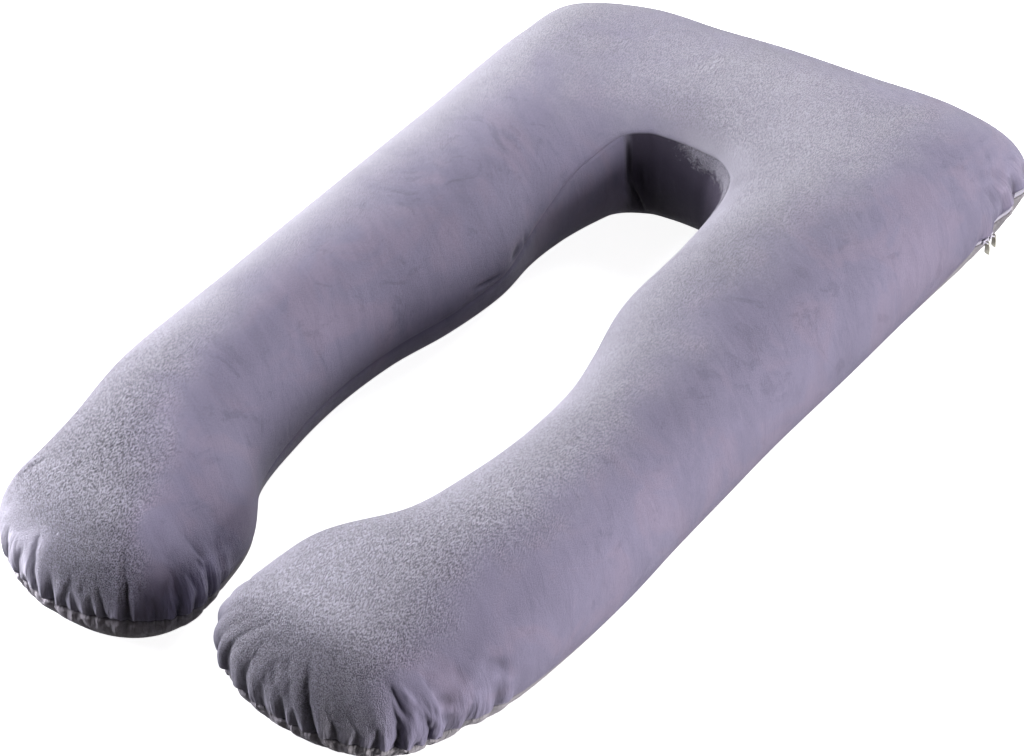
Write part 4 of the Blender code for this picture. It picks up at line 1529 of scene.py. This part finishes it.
def slider_mesh(axes):
    """A wedge-shaped plate with rounded edges and an arched bridge across the pull's eye."""
    bm = bmesh.new()
    bmesh.ops.create_cube(bm, size=1.0)
    bmesh.ops.scale(bm, vec=(SLIDER_LENGTH, SLIDER_WIDTH, SLIDER_PLATE), verts=bm.verts[:])
    bmesh.ops.translate(bm, vec=(0, 0, SLIDER_PLATE / 2), verts=bm.verts[:])
    for vert in bm.verts:
        if vert.co.x > 0:
            vert.co.y *= SLIDER_NOSE / SLIDER_WIDTH
    bmesh.ops.bevel(bm, geom=bm.edges[:], offset=SLIDER_PLATE * SLIDER_BEVEL, affect="EDGES",
                    segments=3, profile=0.5, material=-1)
    foot = Matrix.Translation((BRIDGE_SPAN / 2, 0, SLIDER_PLATE / 2))
    ring = bmesh.ops.create_circle(bm, segments=10, radius=BRIDGE_THICK / 2, matrix=foot)["verts"]
    edges = list({edge for vert in ring for edge in vert.link_edges})
    bmesh.ops.spin(bm, geom=edges, cent=(0, 0, SLIDER_PLATE / 2), axis=(0, -1, 0),
                   angle=math.pi, steps=16, use_merge=False)
    bmesh.ops.scale(bm, vec=(1, BRIDGE_FLAT, BRIDGE_TALL), verts=joined(bm, ring),
                    space=Matrix.Translation((0, 0, -SLIDER_PLATE / 2)))
    bmesh.ops.holes_fill(bm, edges=bm.edges[:])
    bmesh.ops.recalc_face_normals(bm, faces=bm.faces[:])
    bmesh.ops.transform(bm, matrix=axes, verts=bm.verts[:])
    return bm


def closed_loop(bm, outline):
    """Edges through the points of an outline, back to the first one."""
    rim = [bm.verts.new((x, y, 0)) for x, y in outline]
    return [bm.edges.new((rim[k - 1], rim[k])) for k in range(len(rim))]


def hung_pull(axes, turn):
    """The matrix that hangs a pull straight down from a slider's bridge, turned about itself."""
    bar = axes @ Vector((0, 0, SLIDER_PLATE / 2 + BRIDGE_SPAN / 2 * BRIDGE_TALL))
    along = axes.to_3x3() @ Vector((1, 0, 0))
    face = Vector((along.x, along.y, 0)).normalized()
    face.rotate(Matrix.Rotation(math.radians(turn), 3, "Z"))
    upright = Vector((0, 0, 1))
    drop = Vector((0, 0, EYE_DOWN - EYE_LENGTH * EYE_HANGS))
    return axes_at(bar + drop, upright.cross(face), upright, face)


def pull_mesh(axes, turn):
    """A flat pull with rounded edges that hangs straight down, its eye round the bridge."""
    bm = bmesh.new()
    outline = [(-half, -down) for down, half in PULL_OUTLINE]
    outline += [(half, -down) for down, half in reversed(PULL_OUTLINE)]
    angles = [math.atan2(y + EYE_DOWN, x) for x, y in outline]
    eye = [(EYE_WIDTH / 2 * math.cos(angle), -EYE_DOWN + EYE_LENGTH / 2 * math.sin(angle))
           for angle in angles]
    bmesh.ops.bridge_loops(bm, edges=closed_loop(bm, outline) + closed_loop(bm, eye))
    made = bmesh.ops.extrude_face_region(bm, geom=bm.faces[:])["geom"]
    front = [part for part in made if isinstance(part, bmesh.types.BMVert)]
    bmesh.ops.translate(bm, vec=(0, 0, PULL_THICK), verts=front)
    bmesh.ops.translate(bm, vec=(0, 0, -PULL_THICK / 2), verts=bm.verts[:])
    bmesh.ops.recalc_face_normals(bm, faces=bm.faces[:])
    sharp = [edge for edge in bm.edges
             if len(edge.link_faces) == 2 and edge.calc_face_angle() > PULL_SHARP]
    bmesh.ops.bevel(bm, geom=sharp, offset=PULL_THICK * PULL_BEVEL, affect="EDGES", segments=2,
                    profile=0.5, material=-1)
    bmesh.ops.transform(bm, matrix=hung_pull(axes, turn), verts=bm.verts[:])
    return bm


# ---------------------------------------------------------------- the stage

def aimed(place, target):
    """A matrix at place whose -Z points to the target."""
    turn = (Vector(target) - Vector(place)).to_track_quat("-Z", "Y")
    return Matrix.Translation(place) @ turn.to_matrix().to_4x4()


def direction(turn, rise):
    """The unit vector to a place given in degrees round from +X and up from the floor."""
    turn, rise = math.radians(turn), math.radians(rise)
    level = math.cos(rise)
    return Vector((math.cos(turn) * level, math.sin(turn) * level, math.sin(rise)))


def area_light(name, place, size, power, colour):
    """A round soft light at a place, facing the pillow."""
    light = bpy.data.lights.new(name, "AREA")
    light.shape = "DISK"
    light.size = size
    light.energy = power
    light.color = colour
    lamp = bpy.data.objects.new(name, light)
    lamp.matrix_world = aimed(place, LOOK_AT)
    bpy.context.scene.collection.objects.link(lamp)


class PILLOW_OT_stage(bpy.types.Operator):
    """Makes the pale floor, the soft lights and the camera"""
    bl_idname = "pillow.stage"
    bl_label = "Studio stage"

    def execute(self, context):
        stage = context.scene.body_pillow_stage
        bm = bmesh.new()
        bmesh.ops.create_grid(bm, x_segments=1, y_segments=1, size=FLOOR_SIZE / 2)
        bmesh.ops.translate(bm, vec=(0, 0, -FLOOR_GAP), verts=bm.verts[:])
        mesh = bpy.data.meshes.new("floor")
        bm.to_mesh(mesh)
        bm.free()
        mesh.materials.append(floor_material(stage.floor_glow))
        floor = bpy.data.objects.new("floor", mesh)
        floor.visible_diffuse = False
        context.scene.collection.objects.link(floor)

        for name, turn, rise, size, colour in LIGHTS:
            place = Vector(LOOK_AT) + direction(turn, rise) * LIGHT_AWAY
            area_light(name, place, size, getattr(stage, name), colour)
        world = bpy.data.worlds.new("studio")
        world.use_nodes = True
        room = world.node_tree.nodes["Background"]
        room.inputs["Color"].default_value = ROOM_COLOUR
        room.inputs["Strength"].default_value = stage.room
        context.scene.world = world
        context.scene.view_settings.view_transform = "Standard"

        camera = bpy.data.cameras.new("camera")
        camera.lens = CAMERA_LENS
        camera.clip_end = CAMERA_SIGHT
        view = bpy.data.objects.new("camera", camera)
        place = Vector(LOOK_AT) + direction(CAMERA_TURN - 90.0, CAMERA_RISE) * CAMERA_AWAY
        view.matrix_world = aimed(place, LOOK_AT)
        context.scene.collection.objects.link(view)
        context.scene.camera = view
        return {"FINISHED"}


class PILLOW_PT_panel(bpy.types.Panel):
    """The pillow's sizes, colours and pieces"""
    bl_label = "Body Pillow"
    bl_idname = "PILLOW_PT_panel"
    bl_space_type = "VIEW_3D"
    bl_region_type = "UI"
    bl_category = "Body Pillow"

    def draw(self, context):
        for group in (context.scene.body_pillow_shape, context.scene.body_pillow_colours,
                      context.scene.body_pillow_stage):
            box = self.layout.box()
            for name in group.__annotations__:
                box.prop(group, name)
        for operator in OPERATORS:
            self.layout.operator(operator.bl_idname)


GROUPS = {
    "body_pillow_shape": BodyPillowShape,
    "body_pillow_colours": BodyPillowColours,
    "body_pillow_stage": BodyPillowStage,
}
OPERATORS = (
    PILLOW_OT_cover,
    PILLOW_OT_zip_tape,
    PILLOW_OT_zip_coil,
    PILLOW_OT_zip_sliders,
    PILLOW_OT_stage,
)


def register():
    for name, group in GROUPS.items():
        bpy.utils.register_class(group)
        setattr(bpy.types.Scene, name, PointerProperty(type=group))
    for operator in OPERATORS:
        bpy.utils.register_class(operator)
    bpy.utils.register_class(PILLOW_PT_panel)


def unregister():
    bpy.utils.unregister_class(PILLOW_PT_panel)
    for operator in reversed(OPERATORS):
        bpy.utils.unregister_class(operator)
    for name, group in reversed(GROUPS.items()):
        delattr(bpy.types.Scene, name)
        bpy.utils.unregister_class(group)


def main():
    """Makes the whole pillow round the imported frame."""
    register()
    bpy.ops.pillow.cover()
    bpy.ops.pillow.zip_tape()
    bpy.ops.pillow.zip_coil()
    bpy.ops.pillow.zip_sliders()
    bpy.ops.pillow.stage()


if __name__ == "__main__":
    main()
